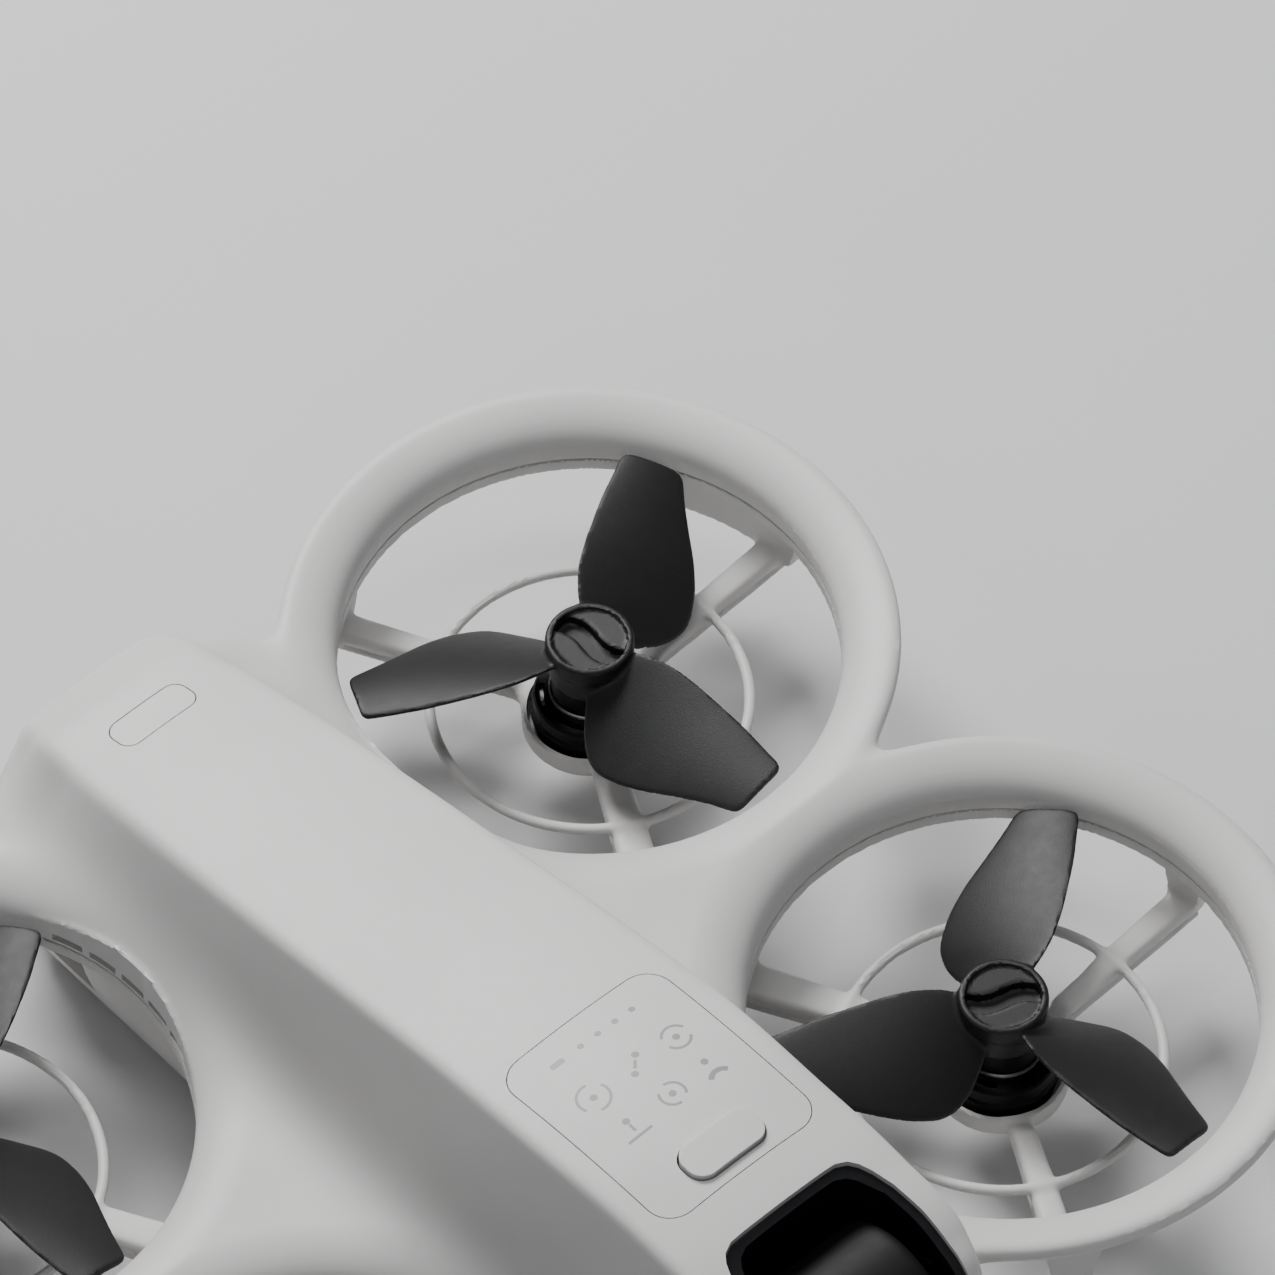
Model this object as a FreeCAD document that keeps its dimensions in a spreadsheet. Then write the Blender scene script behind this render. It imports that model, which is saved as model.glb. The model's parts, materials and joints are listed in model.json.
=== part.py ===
import FreeCAD, Part
import math
import os
import Sketcher

# Ducted four-rotor FPV drone, 1:1 in millimetres.
# Nose towards -Y, port side towards +X, +Z up, standing on z = 0.

os.makedirs("parts", exist_ok=True)
doc = FreeCAD.newDocument("FpvDrone")
Vector = FreeCAD.Vector
Rotation = FreeCAD.Rotation
Placement = FreeCAD.Placement
UP = Vector(0, 0, 1)

# ---------------------------------------------------------------- driving dimensions
DIMENSIONS = (
    # ducts
    ("ring_x_rear", 44.7), ("ring_x_front", 45.9), ("ring_y_rear", 32.5), ("ring_y_front", -29.5),
    ("throat_radius", 26.4), ("ring_outer_radius", 32.5), ("lip_top", 23.7), ("lip_rise", 3.4),
    ("lip_edge", 1.8), ("seam_height", 18.7), ("seam_gap", 0.3), ("wall_foot_radius", 28.6),
    ("skirt_bottom", 16.7), ("saddle_bottom", 20.6), ("saddle_top", 23.5), ("saddle_corner", 3.0),
    # struts and finger guards
    ("guard_radius", 16.8), ("guard_wire", 0.55), ("strut_top", 12.2), ("strut_depth", 2.8),
    ("strut_width", 3.1), ("wide_strut_width", 4.2), ("strut_reach", 27.6), ("cup_radius", 7.2),
    ("cup_bore", 6.6), ("cup_top", 10.2), ("cup_floor", 8.6), ("cup_bottom", 7.4),
    # central hull
    ("hull_wall", 1.3), ("floor_thickness", 1.2),
    # motors and propellers
    ("shaft_radius", 0.75), ("bearing_clearance", 0.05), ("bearing_radius", 1.7),
    ("bearing_top", 12.8), ("base_radius", 5.9), ("base_thickness", 0.9), ("bell_radius", 6.2),
    ("bell_bottom", 9.9), ("bell_shoulder", 13.4), ("bell_top", 17.2), ("bell_neck", 4.0),
    ("magnet_outer", 5.55), ("magnet_inner", 4.8), ("magnet_height", 2.5), ("stator_radius", 4.45),
    ("stator_bottom", 10.6), ("stator_height", 2.1), ("hub_radius", 4.7), ("hub_top", 22.7),
    ("blade_plane", 20.4), ("blade_thickness", 0.75), ("screw_radius", 0.5), ("screw_circle", 3.6),
    # controls
    ("panel_half_width", 10.4), ("panel_rear", -14.5), ("panel_front", -40.4), ("panel_depth", 1.3),
    ("panel_corner", 3.0), ("hairline", 0.12), ("button_gap", 0.25), ("mode_half_width", 4.8),
    ("mode_rear", -34.5), ("mode_front", -39.0), ("mode_raise", 0.6), ("power_half_width", 4.9),
    ("power_rear", 52.1), ("power_front", 48.1), ("mode_foot", 46.6), ("power_foot", 30.4),
    # camera
    ("camera_y", -55.3), ("camera_z", 36.5), ("camera_radius", 8.3), ("camera_half", 7.6),
    ("barrel_radius", 4.4), ("barrel_reach", 9.0), ("tilt_shaft_radius", 1.0), ("notch_rear", -45.7),
    ("notch_front", -70.0), ("notch_half", 10.4), ("notch_floor", 22.2), ("liner_wall", 0.7),
    ("bracket_inner", 8.4), ("bracket_outer", 9.2), ("bracket_floor", 24.8),
    # battery
    ("battery_half", 12.6), ("battery_bottom", 1.5), ("battery_top", 17.2), ("battery_front", 6.0),
    ("battery_split", 57.6), ("battery_wall", 0.8), ("bay_clearance", 0.35), ("latch_length", 9.0),
    ("latch_height", 6.0), ("latch_depth", 1.8), ("latch_travel", 0.8), ("latch_y", 47.0),
    ("latch_z", 9.0),
    # boards
    ("board_thickness", 0.8), ("main_board_z", 12.0), ("main_board_front", -42.0),
    ("main_board_rear", 1.0), ("main_board_half", 12.4),
)

sheet = doc.addObject("Spreadsheet::Sheet", "dims")
for row, (alias, value) in enumerate(DIMENSIONS, start=1):
    sheet.set("A%d" % row, alias)
    sheet.set("B%d" % row, str(value))
    sheet.setAlias("B%d" % row, alias)
doc.recompute()


def number(formula):
    """Value of a number or of a formula that uses the sheet."""
    if isinstance(formula, str):
        return float(sheet.evalExpression(formula.replace("dims.", "")))
    return float(formula)


def dim(alias):
    return float(sheet.get(alias))


# ---------------------------------------------------------------- parametric building blocks
subparts = []


def tie(obj, prop, formula):
    """Set a property, linked to the sheet when the value is a formula."""
    if isinstance(formula, str):
        obj.setExpression(prop, formula)
    elif prop.startswith("Placement.Base."):
        position = Vector(obj.Placement.Base)
        setattr(position, prop[-1], float(formula))
        obj.Placement = Placement(position, obj.Placement.Rotation)
    else:
        setattr(obj, prop, formula)


def locate(obj, at, rotation=None):
    if rotation is not None:
        obj.Placement = Placement(obj.Placement.Base, rotation)
    for axis, value in zip("xyz", at):
        tie(obj, "Placement.Base." + axis, value)
    return obj


def cylinder(name, radius, height, at=(0, 0, 0), rotation=None):
    obj = doc.addObject("Part::Cylinder", name)
    tie(obj, "Radius", radius)
    tie(obj, "Height", height)
    return locate(obj, at, rotation)


def box(name, size, at=(0, 0, 0), rotation=None):
    obj = doc.addObject("Part::Box", name)
    for prop, value in zip(("Length", "Width", "Height"), size):
        tie(obj, prop, value)
    return locate(obj, at, rotation)


def fuse(name, items):
    obj = doc.addObject("Part::MultiFuse", name)
    obj.Shapes = items
    return obj


def cut(name, base, tools):
    obj = doc.addObject("Part::Cut", name)
    obj.Base = base
    obj.Tool = tools[0] if len(tools) == 1 else fuse(name + "_tools", tools)
    return obj


def solid_feature(name, shape):
    obj = doc.addObject("Part::Feature", name)
    obj.Shape = shape
    return obj


def keep(obj, label, at=(0, 0, 0), rotation=None):
    """Register a finished sub-part under its file name."""
    obj.Label = label
    locate(obj, at, rotation)
    subparts.append(obj)
    return obj


def outline_sketch(body, role, name, corners):
    """Closed outline whose corners are dimensioned from the origin."""
    plane = [o for o in body.Origin.OriginFeatures if o.Role == role][0]
    sketch = body.newObject("Sketcher::SketchObject", name)
    sketch.AttachmentSupport = [(plane, "")]
    sketch.MapMode = "FlatFace"
    points = [Vector(number(x), number(y), 0) for x, y in corners]
    count = len(points)
    for index in range(count):
        sketch.addGeometry(Part.LineSegment(points[index], points[(index + 1) % count]), False)
    for index in range(count):
        sketch.addConstraint(Sketcher.Constraint("Coincident", index, 2, (index + 1) % count, 1))
    for index, corner in enumerate(corners):
        for kind, formula in zip(("DistanceX", "DistanceY"), corner):
            made = sketch.addConstraint(Sketcher.Constraint(kind, -1, 1, index, 1, number(formula)))
            if isinstance(formula, str):
                sketch.setExpression("Constraints[%d]" % made, formula)
    return sketch


def turned_body(name, corners):
    """Body of revolution about Z from (radius, height) corners."""
    body = doc.addObject("PartDesign::Body", name)
    sketch = outline_sketch(body, "XZ_Plane", name + "_profile", corners)
    feature = body.newObject("PartDesign::Revolution", name + "_turned")
    feature.Profile = sketch
    feature.ReferenceAxis = (sketch, ["V_Axis"])
    feature.Angle = 360
    return body


def padded_body(name, corners, height):
    """Plate or block padded upwards from an outline in the XY plane."""
    body = doc.addObject("PartDesign::Body", name)
    sketch = outline_sketch(body, "XY_Plane", name + "_outline", corners)
    feature = body.newObject("PartDesign::Pad", name + "_pad")
    feature.Profile = sketch
    tie(feature, "Length", height)
    return body


def round_edges(body, feature_name, radius, wanted):
    """Round the edges of the tip feature picked by the wanted() test."""
    doc.recompute()
    base = body.Tip
    names = ["Edge%d" % (i + 1) for i, edge in enumerate(base.Shape.Edges) if wanted(edge)]
    fillet = body.newObject("PartDesign::Fillet", feature_name)
    fillet.Base = (base, names)
    tie(fillet, "Radius", radius)
    return fillet


def is_upright(edge):
    start, end = edge.Vertexes[0].Point, edge.Vertexes[-1].Point
    return abs(start.x - end.x) < 1e-6 and abs(start.y - end.y) < 1e-6


def rectangle(x0, x1, y0, y1):
    return ((x0, y0), (x1, y0), (x1, y1), (x0, y1))


# ---------------------------------------------------------------- central hull surface
# Stations along the hull: y, crown height, half width at the top ridge, half width at the seam.
HULL_STATIONS = (
    (-65.0, 39.0, 9.9, 12.6),
    (-62.5, 43.2, 11.6, 15.2),
    (-58.5, 45.8, 13.0, 16.9),
    (-48.5, 48.0, 13.3, 17.7),
    (-36.5, 48.4, 13.2, 17.9),
    (-23.5, 47.7, 13.4, 17.9),
    (-8.5, 45.4, 13.2, 17.9),
    (9.5, 41.5, 12.5, 17.9),
    (26.5, 37.8, 11.7, 17.9),
    (39.5, 34.9, 10.8, 17.8),
    (50.2, 32.1, 9.5, 17.0),
    (57.5, 30.0, 8.0, 15.0),
    (61.0, 27.2, 6.0, 12.4),
    (62.6, 23.4, 3.4, 9.4),
)


def hull_section(station, inset, foot):
    """Closed cross-section of the upper hull: a level foot and one smooth arched line."""
    y, crown, ridge, side = station
    crown -= inset
    ridge -= 0.8 * inset
    side -= inset
    edge = crown - 0.075 * ridge
    run = side - ridge
    drop = edge - foot
    half = [
        (side, foot),
        (side - 0.30 * run, foot + 0.33 * drop),
        (side - 0.66 * run, foot + 0.70 * drop),
        (ridge + 0.07 * run, edge - 0.09 * drop),
        (ridge - 0.09 * ridge, edge + 0.010 * ridge),
        (0.55 * ridge, crown - 0.022 * ridge),
    ]
    line = [(-x, z) for x, z in half] + [(0.0, crown)] + [(x, z) for x, z in reversed(half)]
    curve = Part.BSplineCurve()
    curve.interpolate([Vector(x, y, z) for x, z in line])
    arch = curve.toShape()
    level = Part.makeLine(Vector(side, y, foot), Vector(-side, y, foot))
    return Part.Wire([arch, level])


def upper_hull(inset=0.0, foot=None, first=-65.0, last=62.6):
    """Solid of the upper hull, optionally inset, between two cross-sections."""
    foot = dim("seam_height") if foot is None else foot
    stations = [s for s in HULL_STATIONS if first - 1e-6 <= s[0] <= last + 1e-6]
    wires = [hull_section(s, inset, foot) for s in stations]
    return Part.makeLoft(wires, True, False)


# Levels of the lower hull: height, half width, front end, rear end, corner radius.
HULL_LEVELS = (
    (18.4, 17.8, -64.4, 61.8, 10.0),
    (12.5, 17.2, -62.8, 61.2, 9.5),
    (6.0, 15.6, -58.0, 59.6, 8.5),
    (2.2, 14.3, -53.5, 57.6, 7.5),
    (0.6, 13.2, -51.3, 56.2, 6.5),
    (0.0, 12.0, -49.8, 54.9, 5.5),
)


def level_wire(level, inset=0.0):
    """Rounded rectangle at one height of the lower hull."""
    z, half, front, rear, corner = level
    half, front, rear = half - inset, front + inset, rear - inset
    corner = max(corner - inset, 1.0)
    bend = corner * (1 - math.sqrt(0.5))
    pieces = []
    spots = ((half, rear, 1, 1), (-half, rear, -1, 1), (-half, front, -1, -1), (half, front, 1, -1))
    arcs = []
    for x, y, sx, sy in spots:
        on_side = Vector(x, y - sy * corner, z)
        on_end = Vector(x - sx * corner, y, z)
        middle = Vector(x - sx * bend, y - sy * bend, z)
        ends = (on_side, on_end) if sx * sy > 0 else (on_end, on_side)
        arcs.append((ends[0], middle, ends[1]))
    for index, (start, middle, end) in enumerate(arcs):
        pieces.append(Part.Arc(start, middle, end).toShape())
        pieces.append(Part.makeLine(end, arcs[(index + 1) % 4][0]))
    return Part.Wire(pieces)


def lower_hull(inset=0.0):
    return Part.makeLoft([level_wire(level, inset) for level in HULL_LEVELS], True, False)


def block(x0, x1, y0, y1, z0, z1):
    return Part.makeBox(x1 - x0, y1 - y0, z1 - z0, Vector(x0, y0, z0))


def rounded_prism(half, front, rear, corner, z0, z1):
    """Upright prism with rounded corners, centred on x = 0."""
    solid = block(-half, half, front, rear, z0, z1)
    return solid.makeFillet(corner, [e for e in solid.Edges if is_upright(e)])


def moved(shape, x=0.0, y=0.0, z=0.0):
    copy = shape.copy()
    copy.translate(Vector(x, y, z))
    return copy


def single(shape):
    """The largest solid of a result."""
    return max(shape.Solids, key=lambda solid: solid.Volume)


# Ring centres: name, x, y, phase of the first blade tip, sense of rotation (1 = anticlockwise).
RINGS = (
    ("rear_left", dim("ring_x_rear"), dim("ring_y_rear"), 33.0, 1),
    ("rear_right", -dim("ring_x_rear"), dim("ring_y_rear"), 31.0, -1),
    ("front_left", dim("ring_x_front"), dim("ring_y_front"), 36.0, -1),
    ("front_right", -dim("ring_x_front"), dim("ring_y_front"), 80.0, 1),
)
STRUT_ANGLES = (4.0, 117.5, -118.0)
# The strut that carries the motor wires to the hull is wider than the other two.
WIRED_STRUT = {"rear": -118.0, "front": 117.5}


def revolve_profile(corners, x, y):
    """Ring solid turned from a closed section and set on a duct axis."""
    wire = Part.Wire(corners)
    ring = Part.Face(wire).revolve(Vector(0, 0, 0), UP, 360)
    ring.translate(Vector(x, y, 0))
    return ring


def lip_edges():
    """Section of the bell-mouthed duct lip."""
    throat, outer = dim("throat_radius"), dim("ring_outer_radius")
    top, rise, edge = dim("lip_top"), dim("lip_rise"), dim("lip_edge")
    seam, foot = dim("seam_height"), dim("wall_foot_radius")
    mouth = Part.BSplineCurve()
    steps = [math.pi / 2 * i / 8 for i in range(9)]
    span = outer - throat - 0.3
    mouth.interpolate([Vector(throat + span * (1 - math.cos(a)), 0, top - rise + rise * math.sin(a))
                       for a in steps])
    rim_top = Vector(outer - 0.3, 0, top)
    rim_side = Vector(outer, 0, top - 0.5 * edge)
    rim_low = Vector(outer - 0.5, 0, top - edge)
    under = Part.BSplineCurve()
    under.interpolate([rim_low, Vector(outer - 2.4, 0, top - edge - 0.7),
                       Vector(foot + 0.35, 0, seam + 1.2), Vector(foot, 0, seam)])
    return [
        Part.makeLine(Vector(throat, 0, seam), Vector(throat, 0, top - rise)),
        mouth.toShape(),
        Part.Arc(rim_top, rim_side, rim_low).toShape(),
        under.toShape(),
        Part.makeLine(Vector(foot, 0, seam), Vector(throat, 0, seam)),
    ]


def duct_bores(radius, z0, z1):
    bores = [Part.makeCylinder(radius, z1 - z0, Vector(x, y, z0)) for _, x, y, _, _ in RINGS]
    return Part.Compound(bores)


def saddle_plate():
    """Web that joins the four lips to each other and to the hull."""
    z0, z1 = dim("saddle_bottom"), dim("saddle_top")
    reach = dim("ring_x_rear")
    plate = block(-reach, reach, -17.0, 20.0, z0, z1)
    discs = [Part.makeCylinder(dim("ring_outer_radius") - 0.9, z1 - z0, Vector(x, y, z0))
             for _, x, y, _, _ in RINGS]
    joined = plate.fuse(discs + [block(-14.0, 14.0, -56.0, 57.0, z0, z1)]).removeSplitter()
    notches = []
    for edge in joined.Edges:
        if not is_upright(edge):
            continue
        spot = edge.CenterOfMass
        if abs(spot.x) > 50.0 and abs(spot.y) < 8.0:
            notches.append(edge)
    return joined.makeFillet(dim("saddle_corner"), notches) if notches else joined


full_hull = upper_hull()
bores = duct_bores(dim("throat_radius"), 0.0, 60.0)


# ---------------------------------------------------------------- upper shell
def crown_height(y):
    """Height of the hull's centre line, straight between stations."""
    for first, second in zip(HULL_STATIONS, HULL_STATIONS[1:]):
        if first[0] <= y <= second[0]:
            share = (y - first[0]) / (second[0] - first[0])
            return first[1] + share * (second[1] - first[1])
    return HULL_STATIONS[-1][1]


def above_panel_line(drop):
    """Space above a sloping plane that runs a given depth under the control panel."""
    front, rear = dim("panel_front"), dim("panel_rear")
    low_front, low_rear = crown_height(front) - drop, crown_height(rear) - drop
    slope = (low_rear - low_front) / (rear - front)
    y0, y1 = front - 4.0, rear + 4.0
    corners = [Vector(-30, y0, low_front - 4.0 * slope), Vector(-30, y1, low_rear + 4.0 * slope),
               Vector(-30, y1, 60.0), Vector(-30, y0, 60.0)]
    return Part.Face(Part.makePolygon(corners + corners[:1])).extrude(Vector(60, 0, 0))


def control_prism(kind, gap):
    """Outline prism of the panel or of one of the two buttons, grown by a gap."""
    if kind == "panel":
        half, front, rear = dim("panel_half_width"), dim("panel_front"), dim("panel_rear")
        corner = dim("panel_corner")
    elif kind == "mode":
        half, front, rear, corner = dim("mode_half_width"), dim("mode_front"), dim("mode_rear"), 1.9
    else:
        half, front, rear, corner = dim("power_half_width"), dim("power_front"), dim("power_rear"), 1.5
    return rounded_prism(half + gap, front - gap, rear + gap, corner + gap, 20.0, 60.0)


def notch_prism(inset, floor, rear_inset=None):
    rear_inset = inset if rear_inset is None else rear_inset
    half = dim("notch_half") - inset
    corner = 2.4 - 0.5 * inset
    return rounded_prism(half, dim("notch_front"), dim("notch_rear") - rear_inset, corner, floor, 60.0)


def build_upper_shell():
    seam = dim("seam_height")
    lips = [revolve_profile(lip_edges(), x, y) for _, x, y, _, _ in RINGS]
    shell = full_hull.fuse(lips + [saddle_plate()])
    shell = shell.cut(bores)
    wall = dim("hull_wall")
    cavity = upper_hull(inset=wall, foot=seam - 1.0, first=-48.5, last=57.5)
    cavity = cavity.cut(block(-30, 30, -60.0, dim("notch_rear") + wall, 0, 60))
    backing = control_prism("panel", 1.5).common(above_panel_line(dim("panel_depth") + 0.7))
    cavity = cavity.cut(backing)
    shell = shell.cut(cavity)
    shell = shell.cut(notch_prism(0.0, dim("notch_floor")))
    recess = control_prism("panel", dim("hairline")).common(above_panel_line(dim("panel_depth")))
    shell = shell.cut(recess)
    gap = dim("button_gap")
    shell = shell.cut([control_prism("mode", gap), control_prism("power", gap)])
    # pocket for the tilt motor in the port arm
    pocket = Part.makeCylinder(4.2, 5.0, Vector(8.7, dim("camera_y"), dim("camera_z")), Vector(1, 0, 0))
    shell = shell.cut(pocket)
    # cooling slots through the duct walls beside the tail
    slots = []
    for side in (-1, 1):
        for index in range(5):
            y = 22.2 + 4.3 * index
            x0, x1 = sorted((side * 15.0, side * 22.5))
            slots.append(block(x0, x1, y, y + 3.4, seam + 0.4, seam + 2.1))
    shell = shell.cut(slots)
    # posts that carry the panel board and the power key board
    posts = [Part.makeCylinder(1.0, length, Vector(x, y, 44.4))
             for x in (-7.0, 7.0) for y, length in ((-19.0, 0.9), (-31.0, 1.8))]
    posts += [Part.makeCylinder(0.9, 5.6, Vector(x, 44.6, 27.6)) for x in (-3.6, 3.6)]
    shell = shell.fuse(posts)
    # blind holes for the four assembly screws
    holes = [Part.makeCylinder(0.75, 3.4, Vector(x, y, seam - 0.1)) for x, y in SCREW_SPOTS]
    bosses = [Part.makeCylinder(1.9, 2.6, Vector(x, y, seam)) for x, y in SCREW_SPOTS]
    shell = shell.fuse(bosses).cut(holes)
    return single(shell)


SCREW_SPOTS = tuple((sx * 22.6, 1.5 + sy * 5.0) for sx in (-1, 1) for sy in (-1, 1))

keep(solid_feature("upper_shell", build_upper_shell()), "upper_shell")

panel = full_hull.common(control_prism("panel", 0.0).common(above_panel_line(dim("panel_depth"))))
panel = panel.cut(control_prism("mode", dim("button_gap")))
LIGHT_SPOTS = ((-4.95, 0.9), (-1.85, 0.38), (0.45, 0.38), (2.75, 0.38), (5.05, 0.38))


def light_prisms(grow):
    """Battery level lights: one bar and four dots in a row near the panel's rear edge."""
    y = dim("panel_rear") - 3.3
    prisms = []
    for x, half in LIGHT_SPOTS:
        prisms.append(block(x - half - grow, x + half + grow, y - 0.35 - grow, y + 0.35 + grow,
                            40.0, 60.0))
    return prisms


panel = panel.cut(light_prisms(0.0))
keep(solid_feature("control_panel", single(panel)), "control_panel")

lights = [full_hull.common(p.common(above_panel_line(dim("panel_depth")))) for p in light_prisms(0.0)]
keep(solid_feature("status_lights", Part.Compound([single(light) for light in lights])), "status_lights")

BUTTONS = (("mode", dim("mode_raise"), dim("mode_foot")), ("power", 0.0, dim("power_foot")))
for kind, raise_by, foot in BUTTONS:
    key = moved(full_hull, z=raise_by).common(control_prism(kind, 0.0))
    key = key.common(block(-20, 20, -60, 60, foot, 60))
    keep(solid_feature(kind + "_button", single(key)), kind + "_button")


# ---------------------------------------------------------------- lower frame
def strut_solid(angle, width):
    """One strut with a rounded top, from the motor cup to the duct wall."""
    depth, top = dim("strut_depth"), dim("strut_top")
    reach, inner = dim("strut_reach"), dim("cup_bore") + 0.4
    bar = block(inner, reach, -width / 2, width / 2, top - depth, top - width / 4)
    crown = Part.makeCylinder(width / 2, reach - inner, Vector(inner, 0, 0), Vector(1, 0, 0))
    squash = FreeCAD.Matrix()
    squash.scale(1.0, 1.0, 0.5)
    crown = crown.transformGeometry(squash)
    crown.translate(Vector(0, 0, top - width / 4))
    strut = bar.fuse(crown)
    strut.rotate(Vector(0, 0, 0), UP, angle)
    return strut


def wall_leg(angle, side):
    """Deeper stretch of the duct wall that carries the end of a strut."""
    low, high = dim("strut_top") - dim("strut_depth"), dim("skirt_bottom") + 0.3
    base = Vector(0, 0, low)
    sweep, overhang = 30.0, 6.0
    leg = Part.makeCylinder(dim("throat_radius") + 1.6, high - low, base, UP, sweep)
    leg = leg.cut(Part.makeCylinder(dim("throat_radius") + 0.1, high - low, base))
    leg.rotate(Vector(0, 0, 0), UP, angle - overhang if side > 0 else angle - sweep + overhang)
    return leg


def motor_mount(label, x, y):
    """Skirt ring, finger guard, three struts and motor cup of one duct."""
    seam = dim("seam_height") - dim("seam_gap")
    bottom, throat, foot = dim("skirt_bottom"), dim("throat_radius"), dim("wall_foot_radius")
    skirt = Part.makeCylinder(foot, seam - bottom, Vector(0, 0, bottom))
    skirt = skirt.cut(Part.makeCylinder(throat, seam - bottom, Vector(0, 0, bottom)))
    guard = Part.makeTorus(dim("guard_radius"), dim("guard_wire"),
                           Vector(0, 0, dim("strut_top") - 0.2))
    cup = Part.makeCylinder(dim("cup_radius"), dim("cup_top") - dim("cup_bottom"),
                            Vector(0, 0, dim("cup_bottom")))
    side = 1 if x > 0 else -1
    parts = [guard, cup]
    for port_angle in STRUT_ANGLES:
        angle = port_angle if side > 0 else 180.0 - port_angle
        wired = port_angle == WIRED_STRUT[label.split("_")[0]]
        width = dim("wide_strut_width") if wired else dim("strut_width")
        parts += [strut_solid(angle, width), wall_leg(angle, side)]
    mount = skirt.fuse(parts)
    well = Part.makeCylinder(dim("cup_bore"), 6.0, Vector(0, 0, dim("cup_floor")))
    holes = [Part.makeCylinder(dim("screw_radius") + 0.05, 3.0,
                               screw_spot(index) + Vector(0, 0, dim("cup_bottom") - 1.0))
             for index in range(3)]
    mount = mount.cut([well] + holes)
    mount.translate(Vector(x, y, 0))
    return mount


def screw_spot(index):
    angle = math.radians(60.0 + 120.0 * index)
    return Vector(dim("screw_circle") * math.cos(angle), dim("screw_circle") * math.sin(angle), 0)


def bay(grow):
    """Room of the battery, grown by a clearance, open towards the tail."""
    half = dim("battery_half") + grow
    return block(-half, half, dim("battery_front") - grow, 75.0,
                 dim("battery_bottom") - grow, dim("battery_top") + grow)


def latch_room(grow):
    """Window in each side wall for the battery latch, open towards the tail."""
    half_y, half_z = dim("latch_length") / 2 + grow, dim("latch_height") / 2 + grow
    y, z = dim("latch_y"), dim("latch_z")
    return [block(x0, x1, y - half_y, 75.0, z - half_z, z + half_z)
            for x0, x1 in ((-20.0, -10.0), (10.0, 20.0))]


tail_zone = block(-30.0, 30.0, dim("battery_split"), 75.0, -1.0, 18.5)


def build_lower_frame():
    seam = dim("seam_height") - dim("seam_gap")
    frame = lower_hull()
    room = lower_hull(dim("hull_wall") + 0.6)
    front_room = room.common(block(-30, 30, -44.0, dim("battery_front") - 1.6,
                                   dim("floor_thickness"), 17.1))
    nose_room = room.common(block(-30, 30, -58.0, -45.2, dim("floor_thickness") + 3.0, 17.1))
    frame = frame.cut([front_room, nose_room, bay(dim("bay_clearance")), tail_zone])
    frame = frame.cut(latch_room(0.35))
    duct_rooms = [Part.makeCylinder(dim("wall_foot_radius"), seam, Vector(x, y, dim("skirt_bottom")))
                  for _, x, y, _, _ in RINGS]
    lugs = [block(x - 6.2, x + 6.2, 1.5 - 7.6, 1.5 + 7.6, dim("skirt_bottom"), dim("seam_height"))
            for x in (-21.0, 21.0)]
    lugs = [lug.cut(block(-15.0, 15.0, -20, 20, 0, 30)) for lug in lugs]
    roots = []
    for _, x, y, _, _ in RINGS:
        x0, x1 = sorted((math.copysign(15.6, x), math.copysign(21.0, x)))
        roots.append(block(x0, x1, y - 9.0, y + 9.0, dim("skirt_bottom"), seam))
    frame = frame.fuse(lugs + roots).cut(duct_rooms)
    # openings: downward camera, range windows, charging socket, wiring slot, screw holes
    frame = frame.cut([
        Part.makeCylinder(3.1, 4.0, Vector(0, -38.0, -1.0)),
        Part.makeCylinder(1.6, 4.0, Vector(-7.5, -38.0, -1.0)),
        Part.makeCylinder(1.6, 4.0, Vector(7.5, -38.0, -1.0)),
        block(8.0, 20.0, -13.0, -4.0, 6.5, 9.7),
        block(-9.0, 9.0, -30.0, 2.0, 15.0, 19.0),
        block(-5.0, 5.0, 1.0, 9.0, 5.8, 11.2),
    ])
    pillars = [Part.makeCylinder(1.2, dim("main_board_z") - 0.8, Vector(x, y, 0.8))
               for x in (-10.9, 10.9) for y in (-40.5, -0.6)]
    frame = frame.fuse(pillars)
    holes = []
    for x, y in SCREW_SPOTS:
        holes.append(Part.makeCylinder(0.75, 4.0, Vector(x, y, dim("skirt_bottom") - 1.0)))
        holes.append(Part.makeCylinder(1.55, 0.8, Vector(x, y, dim("skirt_bottom") - 0.1)))
    frame = frame.cut(holes)
    return single(frame)


keep(solid_feature("lower_frame", build_lower_frame()), "lower_frame")
mounts = [single(motor_mount(label, x, y)) for label, x, y, _, _ in RINGS]
keep(solid_feature("duct_mounts", Part.Compound(mounts)), "duct_mounts")


# ---------------------------------------------------------------- fasteners
def screw_shape(shank, length, head, head_height):
    """Pan-head screw standing on its head, with a hexagon socket."""
    body = Part.makeCylinder(head, head_height).fuse(
        Part.makeCylinder(shank, length, Vector(0, 0, head_height)))
    corners = [Vector(0.5 * head * math.cos(math.pi / 3 * i), 0.5 * head * math.sin(math.pi / 3 * i), 0)
               for i in range(6)]
    socket = Part.Face(Part.makePolygon(corners + corners[:1])).extrude(Vector(0, 0, 0.55 * head_height))
    return body.cut(socket)


shell_screw = screw_shape(0.7, 3.6, 1.4, 0.7)
screws = [moved(shell_screw, x, y, dim("skirt_bottom")) for x, y in SCREW_SPOTS]
keep(solid_feature("shell_screws", Part.Compound(screws)), "shell_screws")

motor_screw = screw_shape(dim("screw_radius"), 1.9, 0.9, 0.5)
screws = []
for _, x, y, _, _ in RINGS:
    for index in range(3):
        spot = screw_spot(index)
        screws.append(moved(motor_screw, x + spot.x, y + spot.y, dim("cup_bottom") - 0.5))
keep(solid_feature("motor_screws", Part.Compound(screws)), "motor_screws")


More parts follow.
